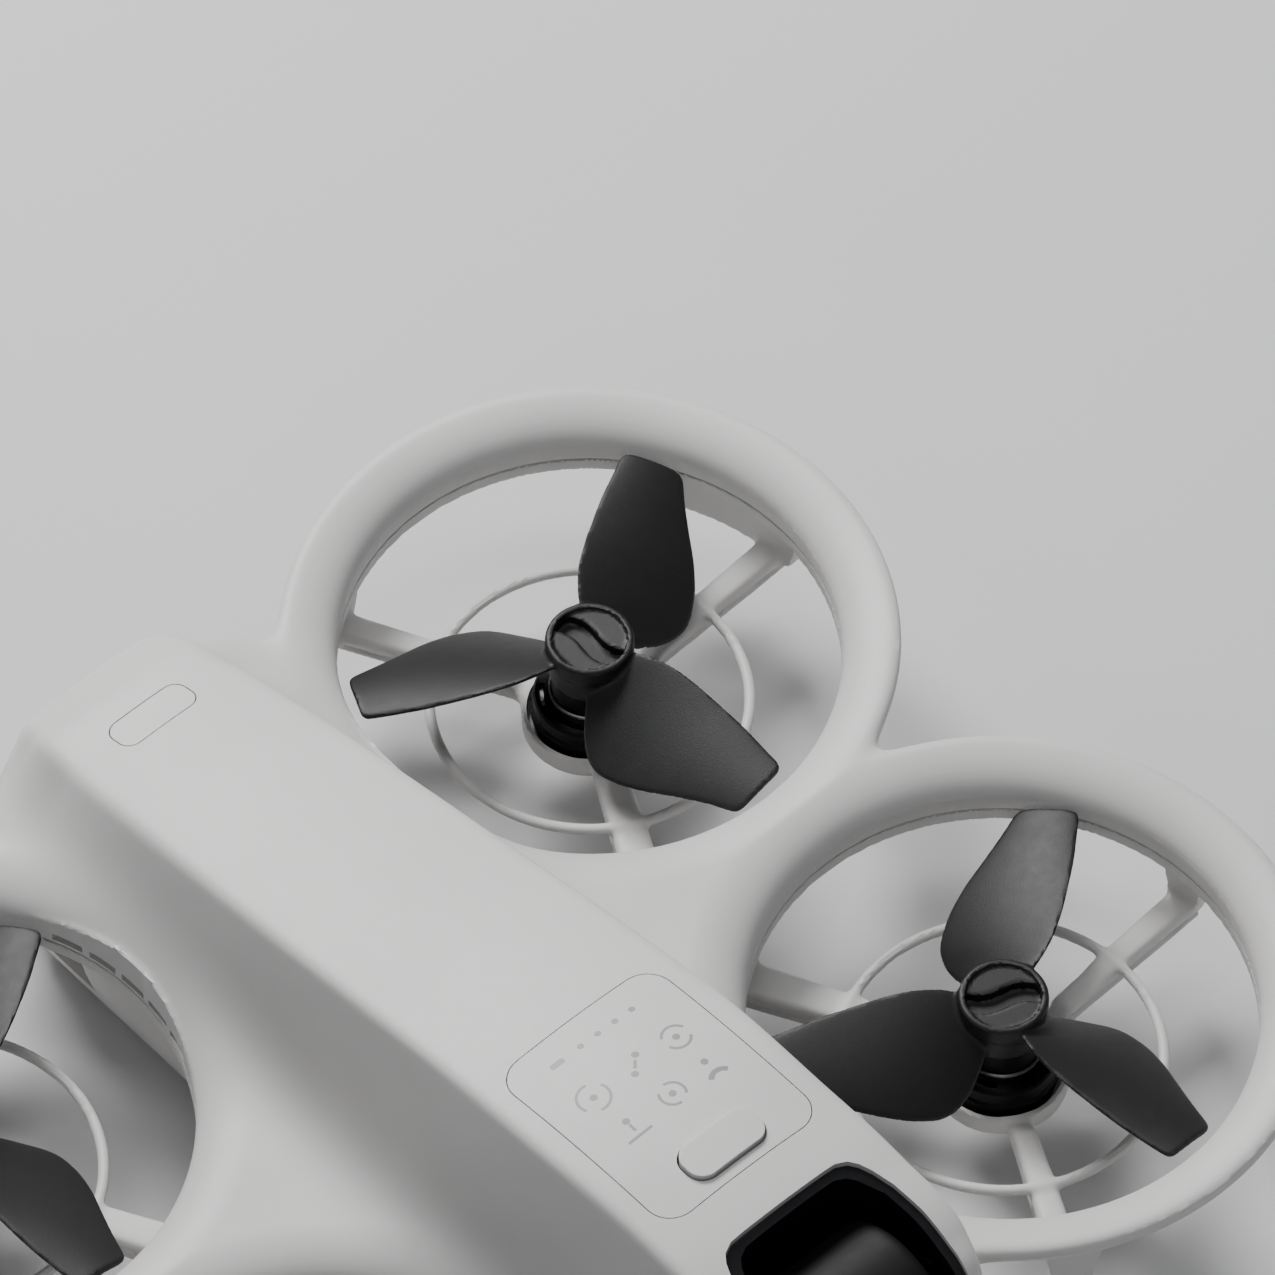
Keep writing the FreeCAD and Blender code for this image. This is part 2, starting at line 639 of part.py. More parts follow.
# ---------------------------------------------------------------- motors
def build_motor_base(label):
    body = turned_body("base_" + label, (
        ("dims.shaft_radius + dims.bearing_clearance", "dims.cup_floor"),
        ("dims.base_radius", "dims.cup_floor"),
        ("dims.base_radius", "dims.cup_floor + dims.base_thickness"),
        ("dims.bearing_radius", "dims.cup_floor + dims.base_thickness"),
        ("dims.bearing_radius", "dims.bearing_top"),
        ("dims.shaft_radius + dims.bearing_clearance", "dims.bearing_top"),
    ))
    holes = []
    for index in range(3):
        spot = screw_spot(index)
        holes.append(cylinder("base_hole_%s_%d" % (label, index), "dims.screw_radius", 2.0,
                              (spot.x, spot.y, "dims.cup_floor - 0.1")))
    return cut("motor_base_" + label, body, holes)


def build_stator(label):
    core = cylinder("stator_core_" + label, "dims.stator_radius", "dims.stator_height",
                    (0, 0, "dims.stator_bottom"))
    tools = [cylinder("stator_bore_" + label, "dims.bearing_radius", "dims.stator_height + 1",
                      (0, 0, "dims.stator_bottom - 0.5"))]
    for index in range(9):
        angle = 40.0 * index
        turn = Rotation(UP, angle)
        spot = turn.multVec(Vector(2.55, -0.28, 0))
        tools.append(box("stator_slot_%s_%d" % (label, index), (2.0, 0.56, "dims.stator_height + 1"),
                         (spot.x, spot.y, "dims.stator_bottom - 0.5"), turn))
    return cut("motor_stator_" + label, core, tools)


def build_bell(label):
    return turned_body("motor_bell_" + label, (
        ("dims.shaft_radius", "dims.bell_shoulder - 0.35"),
        ("dims.magnet_outer", "dims.bell_shoulder - 0.35"),
        ("dims.magnet_outer", "dims.bell_bottom"),
        ("dims.bell_radius - 0.15", "dims.bell_bottom"),
        ("dims.bell_radius", "dims.bell_bottom + 0.2"),
        ("dims.bell_radius", "dims.bell_bottom + 1.3"),
        ("dims.bell_radius - 0.25", "dims.bell_bottom + 1.6"),
        ("dims.bell_radius - 0.25", "dims.bell_shoulder - 0.4"),
        ("dims.bell_radius - 0.7", "dims.bell_shoulder"),
        ("dims.bell_neck + 0.3", "dims.bell_shoulder + 0.25"),
        ("dims.bell_neck", "dims.bell_shoulder + 0.55"),
        ("dims.bell_neck", "dims.bell_top"),
        ("dims.shaft_radius", "dims.bell_top"),
    ))


def build_magnets(label):
    ring = cylinder("magnet_outer_" + label, "dims.magnet_outer", "dims.magnet_height",
                    (0, 0, "dims.bell_bottom + 0.4"))
    tools = [cylinder("magnet_inner_" + label, "dims.magnet_inner", "dims.magnet_height + 1",
                      (0, 0, "dims.bell_bottom"))]
    for index in range(12):
        turn = Rotation(UP, 30.0 * index)
        spot = turn.multVec(Vector(4.0, -0.1, 0))
        tools.append(box("magnet_gap_%s_%d" % (label, index), (2.0, 0.2, "dims.magnet_height + 1"),
                         (spot.x, spot.y, "dims.bell_bottom"), turn))
    return cut("motor_magnets_" + label, ring, tools)


# Blade stations: distance out, leading edge offset, trailing edge offset, pitch in degrees.
BLADE_STATIONS = (
    (2.6, 1.4, -3.0, 34.0),
    (5.4, 2.7, -6.2, 33.0),
    (8.4, 3.5, -8.1, 29.0),
    (11.8, 3.8, -8.2, 25.0),
    (15.5, 3.8, -7.2, 21.0),
    (19.0, 3.7, -5.7, 18.0),
    (22.2, 3.4, -4.4, 15.5),
    (25.2, 3.1, -3.4, 14.0),
)


def blade_solid(sense):
    """One paddle blade reaching along +X; sense 1 leads with its +Y edge."""
    wires = []
    thick = dim("blade_thickness")
    for out, lead, trail, pitch in BLADE_STATIONS:
        slope = math.tan(math.radians(pitch))
        chord = lead - trail
        camber = 0.045 * chord
        front = Vector(out, sense * lead, lead * slope)
        back = Vector(out, sense * trail, trail * slope)
        middle = (front + back) * 0.5
        over = Vector(middle.x, middle.y, middle.z + camber + thick / 2)
        under = Vector(middle.x, middle.y, middle.z + camber - thick / 2)
        nose = Vector(0, 0, 0.16)
        wires.append(Part.Wire([
            Part.Arc(front + nose, over, back + nose).toShape(),
            Part.makeLine(back + nose, back - nose),
            Part.Arc(back - nose, under, front - nose).toShape(),
            Part.makeLine(front - nose, front + nose),
        ]))
    blade = Part.makeLoft(wires, True, False)
    blade.translate(Vector(0, 0, dim("blade_plane")))
    return blade


def propeller_shape(sense):
    """Hub with a curved grip slot and three straight-tipped blades."""
    radius, top, bottom = dim("hub_radius"), dim("hub_top"), dim("bell_top")
    hub = Part.makeCylinder(radius, top - bottom, Vector(0, 0, bottom))
    hub = hub.makeFillet(0.5, [e for e in hub.Edges if e.CenterOfMass.z > top - 0.1])
    blades = []
    for index in range(3):
        blade = blade_solid(sense)
        blade.rotate(Vector(0, 0, 0), UP, 120.0 * index)
        blades.append(blade)
    prop = hub.fuse(blades)
    limit = Part.makeCylinder(dim("throat_radius") - 0.7, 20.0, Vector(0, 0, dim("blade_plane") - 10.0))
    prop = prop.common(limit)
    low_room = Part.makeCylinder(bell_clear_radius(), 10.0, Vector(0, 0, bottom - 10.0))
    prop = prop.cut(low_room)
    # lens-shaped slot, its two ends turned like a thin S
    slot = block(-3.6, 3.6, -0.95, 0.95, top - 1.3, top + 1.0)
    hooks = [Part.makeCylinder(1.5, 2.3, Vector(s * 2.1, s * sense * 0.55, top - 1.3)) for s in (-1, 1)]
    slot = slot.fuse(hooks).common(Part.makeCylinder(radius - 0.8, 5.0, Vector(0, 0, top - 2.0)))
    bore = Part.makeCylinder(dim("shaft_radius"), dim("hub_top") - 1.8 - bottom, Vector(0, 0, bottom))
    return single(prop.cut([slot, bore]))


def bell_clear_radius():
    return dim("bell_radius") + 0.5


for ring_name, ring_x, ring_y, phase, sense in RINGS:
    spot = ("dims.ring_x_%s" % ring_name.split("_")[0]) if ring_x > 0 else (
        "-dims.ring_x_%s" % ring_name.split("_")[0])
    at = (spot, "dims.ring_y_%s" % ring_name.split("_")[0], 0)
    keep(build_motor_base(ring_name), "motor_base_" + ring_name, at)
    keep(build_stator(ring_name), "motor_stator_" + ring_name, at)
    keep(build_bell(ring_name), "motor_bell_" + ring_name, at)
    keep(build_magnets(ring_name), "motor_magnets_" + ring_name, at)
    shaft = cylinder("motor_shaft_" + ring_name, "dims.shaft_radius",
                     "dims.hub_top - 1.8 - dims.cup_floor - 0.4")
    keep(shaft, "motor_shaft_" + ring_name, (at[0], at[1], "dims.cup_floor + 0.4"))
    keep(solid_feature("propeller_" + ring_name, propeller_shape(sense)),
         "propeller_" + ring_name, at, Rotation(UP, phase))


# ---------------------------------------------------------------- camera and its cradle
ALONG_X = Rotation(Vector(0, 1, 0), 90)
FORWARD = Rotation(Vector(1, 0, 0), 90)
camera_at = (0, "dims.camera_y", "dims.camera_z")

liner = notch_prism(0.0, dim("notch_floor")).common(moved(full_hull, z=-0.7))
liner = liner.cut(notch_prism(dim("liner_wall"), dim("notch_floor") + dim("liner_wall")))
liner = liner.cut(Part.makeCylinder(4.2, 5.0, Vector(8.7, dim("camera_y"), dim("camera_z")),
                                    Vector(1, 0, 0)))
keep(solid_feature("cavity_liner", single(liner)), "cavity_liner")

housing = cylinder("housing_drum", "dims.camera_radius", "2 * dims.camera_half",
                   ("-dims.camera_half", 0, 0), ALONG_X)
rounded = doc.addObject("Part::Fillet", "housing_rounded")
rounded.Base = housing
doc.recompute()
rounded.Edges = [(i + 1, 1.4, 1.4) for i, e in enumerate(housing.Shape.Edges)
                 if isinstance(e.Curve, Part.Circle)]
housing_tools = [
    cylinder("housing_mouth", "dims.barrel_radius", 12.0, (0, -2.0, 0), FORWARD),
    cylinder("housing_axle_hole", "dims.tilt_shaft_radius", 24.0, (-12.0, 0, 0), ALONG_X),
    box("housing_sensor_room", (8.2, 1.4, 8.2), (-4.1, -2.9, -4.1)),
]
keep(cut("camera_housing", rounded, housing_tools), "camera_housing", camera_at)

barrel = cylinder("barrel_body", "dims.barrel_radius", "dims.barrel_reach - 3.0", (0, -3.0, 0), FORWARD)
barrel_tools = [
    cylinder("barrel_mouth", "dims.barrel_radius - 0.9", 1.6, (0, "-dims.barrel_reach + 1.2", 0), FORWARD),
    cylinder("barrel_bore", 2.6, 12.0, (0, 0, 0), FORWARD),
]
keep(cut("lens_barrel", barrel, barrel_tools), "lens_barrel", camera_at)

glass = cylinder("lens_glass", "dims.barrel_radius - 0.9", 0.8)
keep(glass, "lens_glass", (0, "dims.camera_y - dims.barrel_reach + 1.2", "dims.camera_z"), FORWARD)

sensor = box("camera_sensor", (8.0, 1.1, 8.0))
keep(sensor, "camera_sensor", (-4.0, "dims.camera_y - 2.8", "dims.camera_z - 4"))

shaft = cylinder("tilt_shaft", "dims.tilt_shaft_radius", "2 * dims.bracket_outer + 1.4")
keep(shaft, "tilt_shaft", ("-dims.bracket_outer", "dims.camera_y", "dims.camera_z"), ALONG_X)

cradle = [box("cradle_floor", ("2 * dims.bracket_outer", 9.0, 0.8),
              ("-dims.bracket_outer", -4.5, "dims.bracket_floor - dims.camera_z"))]
for side, start in (("port", "dims.bracket_inner"), ("starboard", "-dims.bracket_outer")):
    cradle.append(box("cradle_arm_" + side,
                      ("dims.bracket_outer - dims.bracket_inner", 5.0,
                       "dims.camera_z - dims.bracket_floor"),
                      (start, -2.5, "dims.bracket_floor - dims.camera_z")))
    cradle.append(cylinder("cradle_eye_" + side, 2.5, "dims.bracket_outer - dims.bracket_inner",
                           (start, 0, 0), ALONG_X))
axle_hole = cylinder("cradle_axle_hole", "dims.tilt_shaft_radius + dims.bearing_clearance", 24.0,
                     (-12.0, 0, 0), ALONG_X)
keep(cut("gimbal_bracket", fuse("cradle", cradle), [axle_hole]), "gimbal_bracket", camera_at)

tilt_motor = cut("tilt_motor", cylinder("tilt_motor_can", 4.0, 4.0, (0, 0, 0), ALONG_X),
                 [cylinder("tilt_motor_bore", "dims.tilt_shaft_radius + dims.bearing_clearance", 2.0,
                           (-0.1, 0, 0), ALONG_X)])
keep(tilt_motor, "tilt_motor", ("dims.bracket_outer", "dims.camera_y", "dims.camera_z"))

damper_floor = dim("notch_floor") + dim("liner_wall")
damper_height = dim("bracket_floor") - damper_floor
balls = []
for x in (-6.5, 6.5):
    for y in (-3.2, 3.2):
        ball = Part.makeSphere(1.25, Vector(x, dim("camera_y") + y, damper_floor + damper_height / 2))
        slab = block(-30, 30, -70, 0, damper_floor, damper_floor + damper_height)
        balls.append(ball.common(slab))
keep(solid_feature("damper_balls", Part.Compound(balls)), "damper_balls")


# ---------------------------------------------------------------- battery pack
def build_battery_case():
    """Case that fills the bay and closes the tail of the hull."""
    body = bay(0.0).common(block(-30, 30, 0, dim("battery_split") + 1.0, 0, 18.4))
    tail = lower_hull().common(block(-30, 30, dim("battery_split") + 0.3, 75.0, -1.0, 18.3))
    body = body.fuse(tail)
    wall = dim("battery_wall")
    room = block(-dim("battery_half") + wall, dim("battery_half") - wall, dim("battery_front") + wall,
                 dim("battery_split") - wall, dim("battery_bottom") + wall, dim("battery_top") - wall)
    body = body.cut(room)
    # pockets for the two latches and for the plug of the drone
    half_y, half_z = dim("latch_length") / 2 + 0.3, dim("latch_height") / 2 + 0.3
    y, z = dim("latch_y"), dim("latch_z")
    depth = dim("latch_depth") + dim("latch_travel") + 0.4
    for side in (-1, 1):
        x0, x1 = sorted((side * (dim("battery_half") - depth), side * 20.0))
        walls = block(*sorted((side * (dim("battery_half") - depth - wall), side * dim("battery_half"))),
                      y - half_y - wall, y + half_y + wall, z - half_z - wall, z + half_z + wall)
        body = body.fuse(walls).cut(block(x0, x1, y - half_y, y + half_y, z - half_z, z + half_z))
    plug_room = block(-5.6, 5.6, dim("battery_front") - 1.0, dim("battery_front") + 3.4, 5.2, 11.8)
    plug_walls = block(-6.4, 6.4, dim("battery_front"), dim("battery_front") + 4.2, 4.4, 12.6)
    return single(body.fuse(plug_walls).cut(plug_room))


contacts = [block(x - 0.35, x + 0.35, dim("battery_front") + 2.4, 11.5, 7.2, 9.8)
            for x in (-3.6, -1.2, 1.2, 3.6)]
keep(solid_feature("battery_case", single(build_battery_case().cut(contacts))), "battery_case")
keep(solid_feature("battery_contacts", Part.Compound(contacts)), "battery_contacts")

cell_height = (dim("battery_top") - dim("battery_bottom") - 2 * dim("battery_wall") - 0.5) / 2
cells = []
for index in range(2):
    z0 = dim("battery_bottom") + dim("battery_wall") + 0.1 + index * (cell_height + 0.3)
    cell = block(-8.6, 8.6, 13.5, 55.5, z0, z0 + cell_height)
    long_edges = [e for e in cell.Edges if abs(e.Vertexes[0].Y - e.Vertexes[-1].Y) > 1]
    cells.append(cell.makeFillet(1.2, long_edges))
keep(solid_feature("battery_cells", Part.Compound(cells)), "battery_cells")

board = padded_body("battery_board", rectangle(-8.0, 8.0, 0, "dims.board_thickness"), 10.0)
keep(board, "battery_board", (0, 11.5, 4.0))

for side, label in ((1, "left"), (-1, "right")):
    plate = box("latch_plate_" + label, ("dims.latch_depth", "dims.latch_length", "dims.latch_height"),
                (0, "-dims.latch_length / 2", "-dims.latch_height / 2"))
    grips = [box("latch_rib_%s_%d" % (label, i), (0.5, 0.6, "dims.latch_height - 1.6"),
                 ("dims.latch_depth - 0.1", 1.4 + 1.2 * i - 4.5 + 3.0, "-dims.latch_height / 2 + 0.8"))
             for i in range(4)]
    latch = fuse("battery_latch_" + label, [plate] + grips)
    turn = Rotation(UP, 0 if side > 0 else 180)
    start = "dims.battery_half - 0.6" if side > 0 else "-dims.battery_half + 0.6"
    keep(latch, "battery_latch_" + label, (start, "dims.latch_y", "dims.latch_z"), turn)


# ---------------------------------------------------------------- electronics inside the hull
def plain_board(label, x0, x1, y0, y1, at):
    board = padded_body(label, rectangle(x0, x1, y0, y1), "dims.board_thickness")
    return keep(board, label, at)


plain_board("main_board", "-dims.main_board_half", "dims.main_board_half", "dims.main_board_front",
            "dims.main_board_rear", (0, 0, "dims.main_board_z"))
shield = padded_body("shield_can", rectangle(-9.0, 9.0, -11.0, 11.0), 1.8)
round_edges(shield, "shield_rounds", 0.8, is_upright)
keep(shield, "processor_shield", (0, -20.0, "dims.main_board_z + dims.board_thickness"))

sink = doc.addObject("PartDesign::Body", "sink")
sketch = outline_sketch(sink, "XY_Plane", "sink_outline", rectangle(-9.0, 9.0, -12.0, 12.0))
pad = sink.newObject("PartDesign::Pad", "sink_pad")
pad.Profile = sketch
pad.Length = 3.6
doc.recompute()
groove_sketch = outline_sketch(sink, "XY_Plane", "sink_groove_outline",
                               rectangle(-8.2, -6.8, -12.0, 12.0))
groove = sink.newObject("PartDesign::Pocket", "sink_groove")
groove.Profile = groove_sketch
groove.Length = 2.4
groove.Reversed = True
doc.recompute()
pattern = sink.newObject("PartDesign::LinearPattern", "sink_grooves")
pattern.Originals = [groove]
pattern.Direction = (groove_sketch, ["H_Axis"])
pattern.Length = 15.0
pattern.Occurrences = 8
sink.Tip = pattern
doc.recompute()
keep(sink, "heat_sink", (0, -20.0, "dims.main_board_z - 3.6"))

connector = box("battery_plug", (10.0, 6.0, 5.4))
slots = [box("plug_slot_%d" % i, (1.3, 3.2, 3.4), (1.4 - 0.65 + 2.4 * i, 3.2, 1.0)) for i in range(4)]
keep(cut("battery_plug_cut", connector, slots), "battery_connector", (-5.0, 3.0, 5.8))

usb_outer = padded_body("usb_shell", rectangle(0, 7.2, -4.5, 4.5), 3.2)
round_edges(usb_outer, "usb_rounds", 1.2, lambda e: abs(e.Vertexes[0].Y - e.Vertexes[-1].Y) < 1e-6
            and abs(e.Vertexes[0].Z - e.Vertexes[-1].Z) < 1e-6)
usb_room = box("usb_room", (6.0, 8.0, 2.2), (1.6, -4.0, 0.5))
usb_tongue = box("usb_tongue", (4.6, 6.0, 0.6), (1.5, -3.0, 1.3))
keep(fuse("usb_socket_body", [cut("usb_hollow", usb_outer, [usb_room]), usb_tongue]), "usb_socket",
     (9.2, -8.5, 6.5))

plain_board("panel_board", -9.0, 9.0, -34.0 - 6.0, -16.5, (0, 0, "44.4 - dims.board_thickness"))
plain_board("power_key_board", -5.0, 5.0, 42.6, 53.0, (0, 0, "27.6 - dims.board_thickness"))


def key_switch(name, label, height, at):
    base = box(name + "_base", (3.4, 2.8, height - 0.5), (-1.7, -1.4, 0))
    plunger = cylinder(name + "_plunger", 0.8, height)
    return keep(fuse(name, [base, plunger]), label, at)


key_switch("mode_switch", "mode_switch", 1.6, (0, -37.05, 44.4))
key_switch("power_switch", "power_switch", 1.6, (0, 50.1, 27.6))

down_body = cut("down_body", box("down_case", (8.0, 8.0, 3.4), (-4.0, -4.0, 1.2)),
                [cylinder("down_bore", 2.2, 3.0, (0, 0, 0.5))])
down_snout = cut("down_snout", cylinder("down_tube", 3.0, 1.3, (0, 0, 0)),
                 [cylinder("down_tube_bore", 2.2, 3.0, (0, 0, -0.5))])
keep(fuse("downward_camera", [down_body, down_snout]), "downward_camera", (0, -38.0, 0.1))
keep(cylinder("downward_lens", 2.2, 0.8), "downward_lens", (0, -38.0, 0.7))
windows = [Part.makeCylinder(1.6, 1.2, Vector(x, -38.0, 0.1)) for x in (-7.5, 7.5)]
keep(solid_feature("range_windows", Part.Compound(windows)), "range_windows")

# ---------------------------------------------------------------- checks and export
doc.recompute()
for obj in doc.Objects:
    if "Invalid" in obj.State or "Error" in obj.State:
        raise RuntimeError("not built: %s %s" % (obj.Name, obj.State))
for obj in subparts:
    shape = obj.Shape
    if shape.isNull() or not shape.isValid():
        raise RuntimeError("bad shape: " + obj.Label)
    shape.exportStep("parts/%s.step" % obj.Label)
    size = shape.BoundBox
    print("%-28s solids %2d  volume %9.1f  x %7.2f %7.2f  y %7.2f %7.2f  z %6.2f %6.2f" % (
        obj.Label, len(shape.Solids), shape.Volume, size.XMin, size.XMax, size.YMin, size.YMax,
        size.ZMin, size.ZMax))
print(len(subparts), "sub-parts")
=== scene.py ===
import json
import math

import bpy
import numpy as np
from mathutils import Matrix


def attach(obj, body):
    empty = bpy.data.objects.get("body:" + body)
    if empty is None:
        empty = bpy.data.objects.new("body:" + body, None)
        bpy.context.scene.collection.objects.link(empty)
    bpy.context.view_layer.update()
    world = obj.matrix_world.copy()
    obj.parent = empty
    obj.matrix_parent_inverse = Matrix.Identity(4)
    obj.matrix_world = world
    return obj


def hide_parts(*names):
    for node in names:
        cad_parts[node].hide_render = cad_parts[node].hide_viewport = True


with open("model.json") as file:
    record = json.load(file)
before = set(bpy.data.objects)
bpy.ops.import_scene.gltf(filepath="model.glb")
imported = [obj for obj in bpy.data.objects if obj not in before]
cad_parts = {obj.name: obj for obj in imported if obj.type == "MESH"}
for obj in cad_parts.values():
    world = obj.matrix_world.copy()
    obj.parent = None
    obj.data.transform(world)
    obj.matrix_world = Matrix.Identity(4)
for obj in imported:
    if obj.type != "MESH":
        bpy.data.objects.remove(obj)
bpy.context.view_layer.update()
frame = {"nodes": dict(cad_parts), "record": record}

import openvdb
from mathutils import Matrix, Vector

NODES = frame["nodes"]
MM = 0.001

# ---------------------------------------------------------------- sizes in millimetres
# duct axes in plan
RINGS = {
    "rear_left": (44.7, 32.5), "rear_right": (-44.7, 32.5),
    "front_left": (45.9, -29.5), "front_right": (-45.9, -29.5),
}
# duct radii at the throat and the outer edge, top of the lip and its fall down to the throat
THROAT, OUTER, LIP_TOP, LIP_RISE = 26.4, 32.5, 23.7, 3.4
# height where the upper shell meets the lower hull
SEAM = 18.7
HULL_FRONT, HULL_REAR = -64.8, 62.4
# strip under the hull that ties the duct lips to it, and the web between a front and a rear lip
CORE_HALF, CORE_Y, CORE_LENGTH = 17.0, -1.0, 58.0
WEB_HALF, WEB_Y, WEB_LENGTH = 45.0, 1.5, 18.5
# softness of the hollow where the hull runs into the lips
SADDLE_BLEND = 9.0
# camera's tilt axis
AXLE = (0.0, -55.3, 36.5)
# turn of each first blade from +X in degrees, and the sense of its spin seen from above
BLADE_PHASE = {"rear_left": 33.0, "rear_right": 31.0, "front_left": 36.0, "front_right": 80.0}
SPIN_SENSE = {"rear_left": 1, "rear_right": -1, "front_left": -1, "front_right": 1}
# strut directions of a port duct in degrees; the strut with the motor leads is wider
STRUTS = (4.0, 117.5, -118.0)
WIRED_STRUT = {"rear": -118.0, "front": 117.5}
# middle radius and half thickness of the skirt under the lip and of its deeper legs
SKIRT, LEG = (27.5, 1.1), (28.15, 0.68)
SKIRT_FOOT, LEG_REACH = 17.2, 6.4
# middle height and half height of the band that closes against the shell
SEAM_BAND = (17.55, 0.85)
# radius, height and half thickness of the finger guard
GUARD_R, GUARD_Z, GUARD_HALF = 16.8, 11.85, 0.58
CUP_R, CUP_RIM, CUP_FLOOR = 7.15, 10.2, 7.4
STRUT_FOOT, STRUT_TOP, STRUT_END = 9.4, 10.0, 28.5
# half width, middle and half length of the screw lugs under the saddles
LUG_HALF, LUG_Y, LUG_LENGTH = 27.1, 1.5, 7.5
# where a duct's leg starts and stops beside each strut, and the run of both ends, in degrees
WALL_SPREAD = {"rear": (-10.0, 40.0, 5.0, 18.0), "front": (-7.0, 7.0, 4.0, 4.0)}
# y, crown height, half width at the ridge, half width at the seam
STATIONS = np.array([
    (-65.0, 39.0, 9.9, 12.6), (-62.5, 43.2, 11.6, 15.2), (-58.5, 45.8, 13.0, 16.9),
    (-48.5, 48.0, 13.3, 17.7), (-36.5, 48.4, 13.2, 17.9), (-23.5, 47.7, 13.4, 17.9),
    (-8.5, 45.4, 13.0, 17.9), (9.5, 41.5, 12.5, 17.9), (26.5, 37.8, 12.0, 17.9),
    (39.5, 34.9, 11.4, 17.8), (50.2, 32.1, 10.6, 17.0), (57.5, 30.0, 9.5, 15.2),
    (61.0, 27.2, 7.9, 12.8), (62.6, 23.4, 5.8, 10.2)])
# height, half width, front end, rear end and corner radius of the lower hull
LEVELS = np.array([
    (0.0, 12.0, -49.8, 54.9, 5.5), (0.6, 13.2, -51.3, 56.2, 6.5), (2.2, 14.3, -53.5, 57.6, 7.5),
    (6.0, 15.6, -58.0, 59.6, 8.5), (12.5, 17.2, -62.8, 61.2, 9.5), (18.4, 17.8, -64.4, 61.8, 10.0)])
HUB_R, HUB_TOP, HUB_FOOT = 4.68, 22.7, 17.2
# recess in the hub's top, and the driver slot in its floor
DISH_R, DISH_FLOOR = 3.95, 22.25
SLOT_TURN, SLOT_HALF, SLOT_REACH, SLOT_FLOOR = 70.0, 1.15, 3.9, 21.1
BLADE_ROOT, BLADE_TIP, BLADE_HEIGHT = 4.2, 25.2, 20.4
# half thickness at the edges, what the middle adds to it, and the camber as a share of the width
BLADE_EDGE, BLADE_BELLY, BLADE_CAMBER = 0.24, 0.2, 0.045
# camera about its tilt axis
DRUM_R, DRUM_HALF, SNOUT_R, SNOUT_REACH = 8.2, 7.55, 5.7, 8.0
# distance out, leading edge, trailing edge and pitch of a blade
BLADE = np.array([
    (2.6, 1.4, -3.0, 34.0), (5.4, 2.7, -6.2, 33.0), (8.4, 3.5, -8.1, 29.0), (11.8, 3.8, -8.2, 25.0),
    (15.5, 3.8, -7.2, 21.0), (19.0, 3.7, -5.7, 18.0), (22.2, 3.4, -4.4, 15.5), (25.2, 3.1, -3.4, 14.0)])


# ---------------------------------------------------------------- smooth distance fields
def smooth_min(a, b, k):
    h = np.maximum(k - np.abs(a - b), 0.0) / k
    return np.minimum(a, b) - h * h * h * k / 6.0


def smooth_max(a, b, k):
    return -smooth_min(-a, -b, k)


def smoothstep(t):
    t = np.clip(t, 0.0, 1.0)
    return t * t * (3.0 - 2.0 * t)


def curve(table, at, column):
    """Smooth line through one column of a table of stations."""
    ys, vs = table[:, 0], table[:, column]
    slope = np.gradient(vs, ys)
    i = np.clip(np.searchsorted(ys, at) - 1, 0, len(ys) - 2)
    step = ys[i + 1] - ys[i]
    t = np.clip((at - ys[i]) / step, -0.2, 1.2)
    t2, t3 = t * t, t * t * t
    return ((2 * t3 - 3 * t2 + 1) * vs[i] + (t3 - 2 * t2 + t) * step * slope[i]
            + (-2 * t3 + 3 * t2) * vs[i + 1] + (t3 - t2) * step * slope[i + 1])


def hull_field(x, y, z):
    """Arched hull above the seam: a slightly crowned top over two flat, leaning flanks."""
    crown, ridge, side = curve(STATIONS, y, 1), curve(STATIONS, y, 2), curve(STATIONS, y, 3)
    ax = np.abs(x)
    camber = 0.075 * ridge
    rise, run = crown - camber - SEAM, side - ridge
    flank = ((ax - side) * rise + (z - SEAM) * run) / np.sqrt(rise * rise + run * run)
    top = (z - (crown - camber * (ax / ridge) ** 2)) * 0.97
    body = smooth_max(flank, top, 1.5)
    body = smooth_max(body, y - HULL_REAR, 3.0)
    return smooth_max(body, HULL_FRONT - y, 2.0)


def plate_field(x, y, z):
    """Duct lips and the saddles between them, as one thin dished plate."""
    radii = [np.hypot(x - cx, y - cy) for cx, cy in RINGS.values()]
    near = radii[0]
    for r in radii[1:]:
        near = np.minimum(near, r)
    width = OUTER - THROAT
    inward = np.clip((OUTER - near) / width, 0.0, 1.0)
    dish = LIP_RISE * (1 - np.sqrt(np.clip(1 - inward * inward, 0.0, 1.0)))
    top = LIP_TOP - dish
    outline = radii[0] - OUTER
    for r in radii[1:]:
        outline = smooth_min(outline, r - OUTER, 5.0)
    core = smooth_max(np.abs(x) - CORE_HALF, np.abs(y - CORE_Y) - CORE_LENGTH, 6.0)
    outline = smooth_min(outline, core, SADDLE_BLEND)
    web = np.maximum(np.abs(x) - WEB_HALF, np.abs(y - WEB_Y) - WEB_LENGTH)
    outline = np.minimum(outline, web)
    slope = LIP_RISE * inward / np.sqrt(np.clip(1 - inward * inward, 0.02, 1.0)) / width
    slope = np.clip(slope, 0, 3)
    above = (z - top) / np.sqrt(1 + slope * slope)
    underside = SEAM - 1.2 + 4.2 * smoothstep((near - 26.8) / 5.4)
    below = (underside - z) * 0.75
    body = smooth_max(above, outline, 1.7)
    return smooth_max(body, below, 1.3)


def outer_field(x, y, z):
    """Whole outside of the upper shell."""
    return smooth_min(hull_field(x, y, z), plate_field(x, y, z), SADDLE_BLEND)


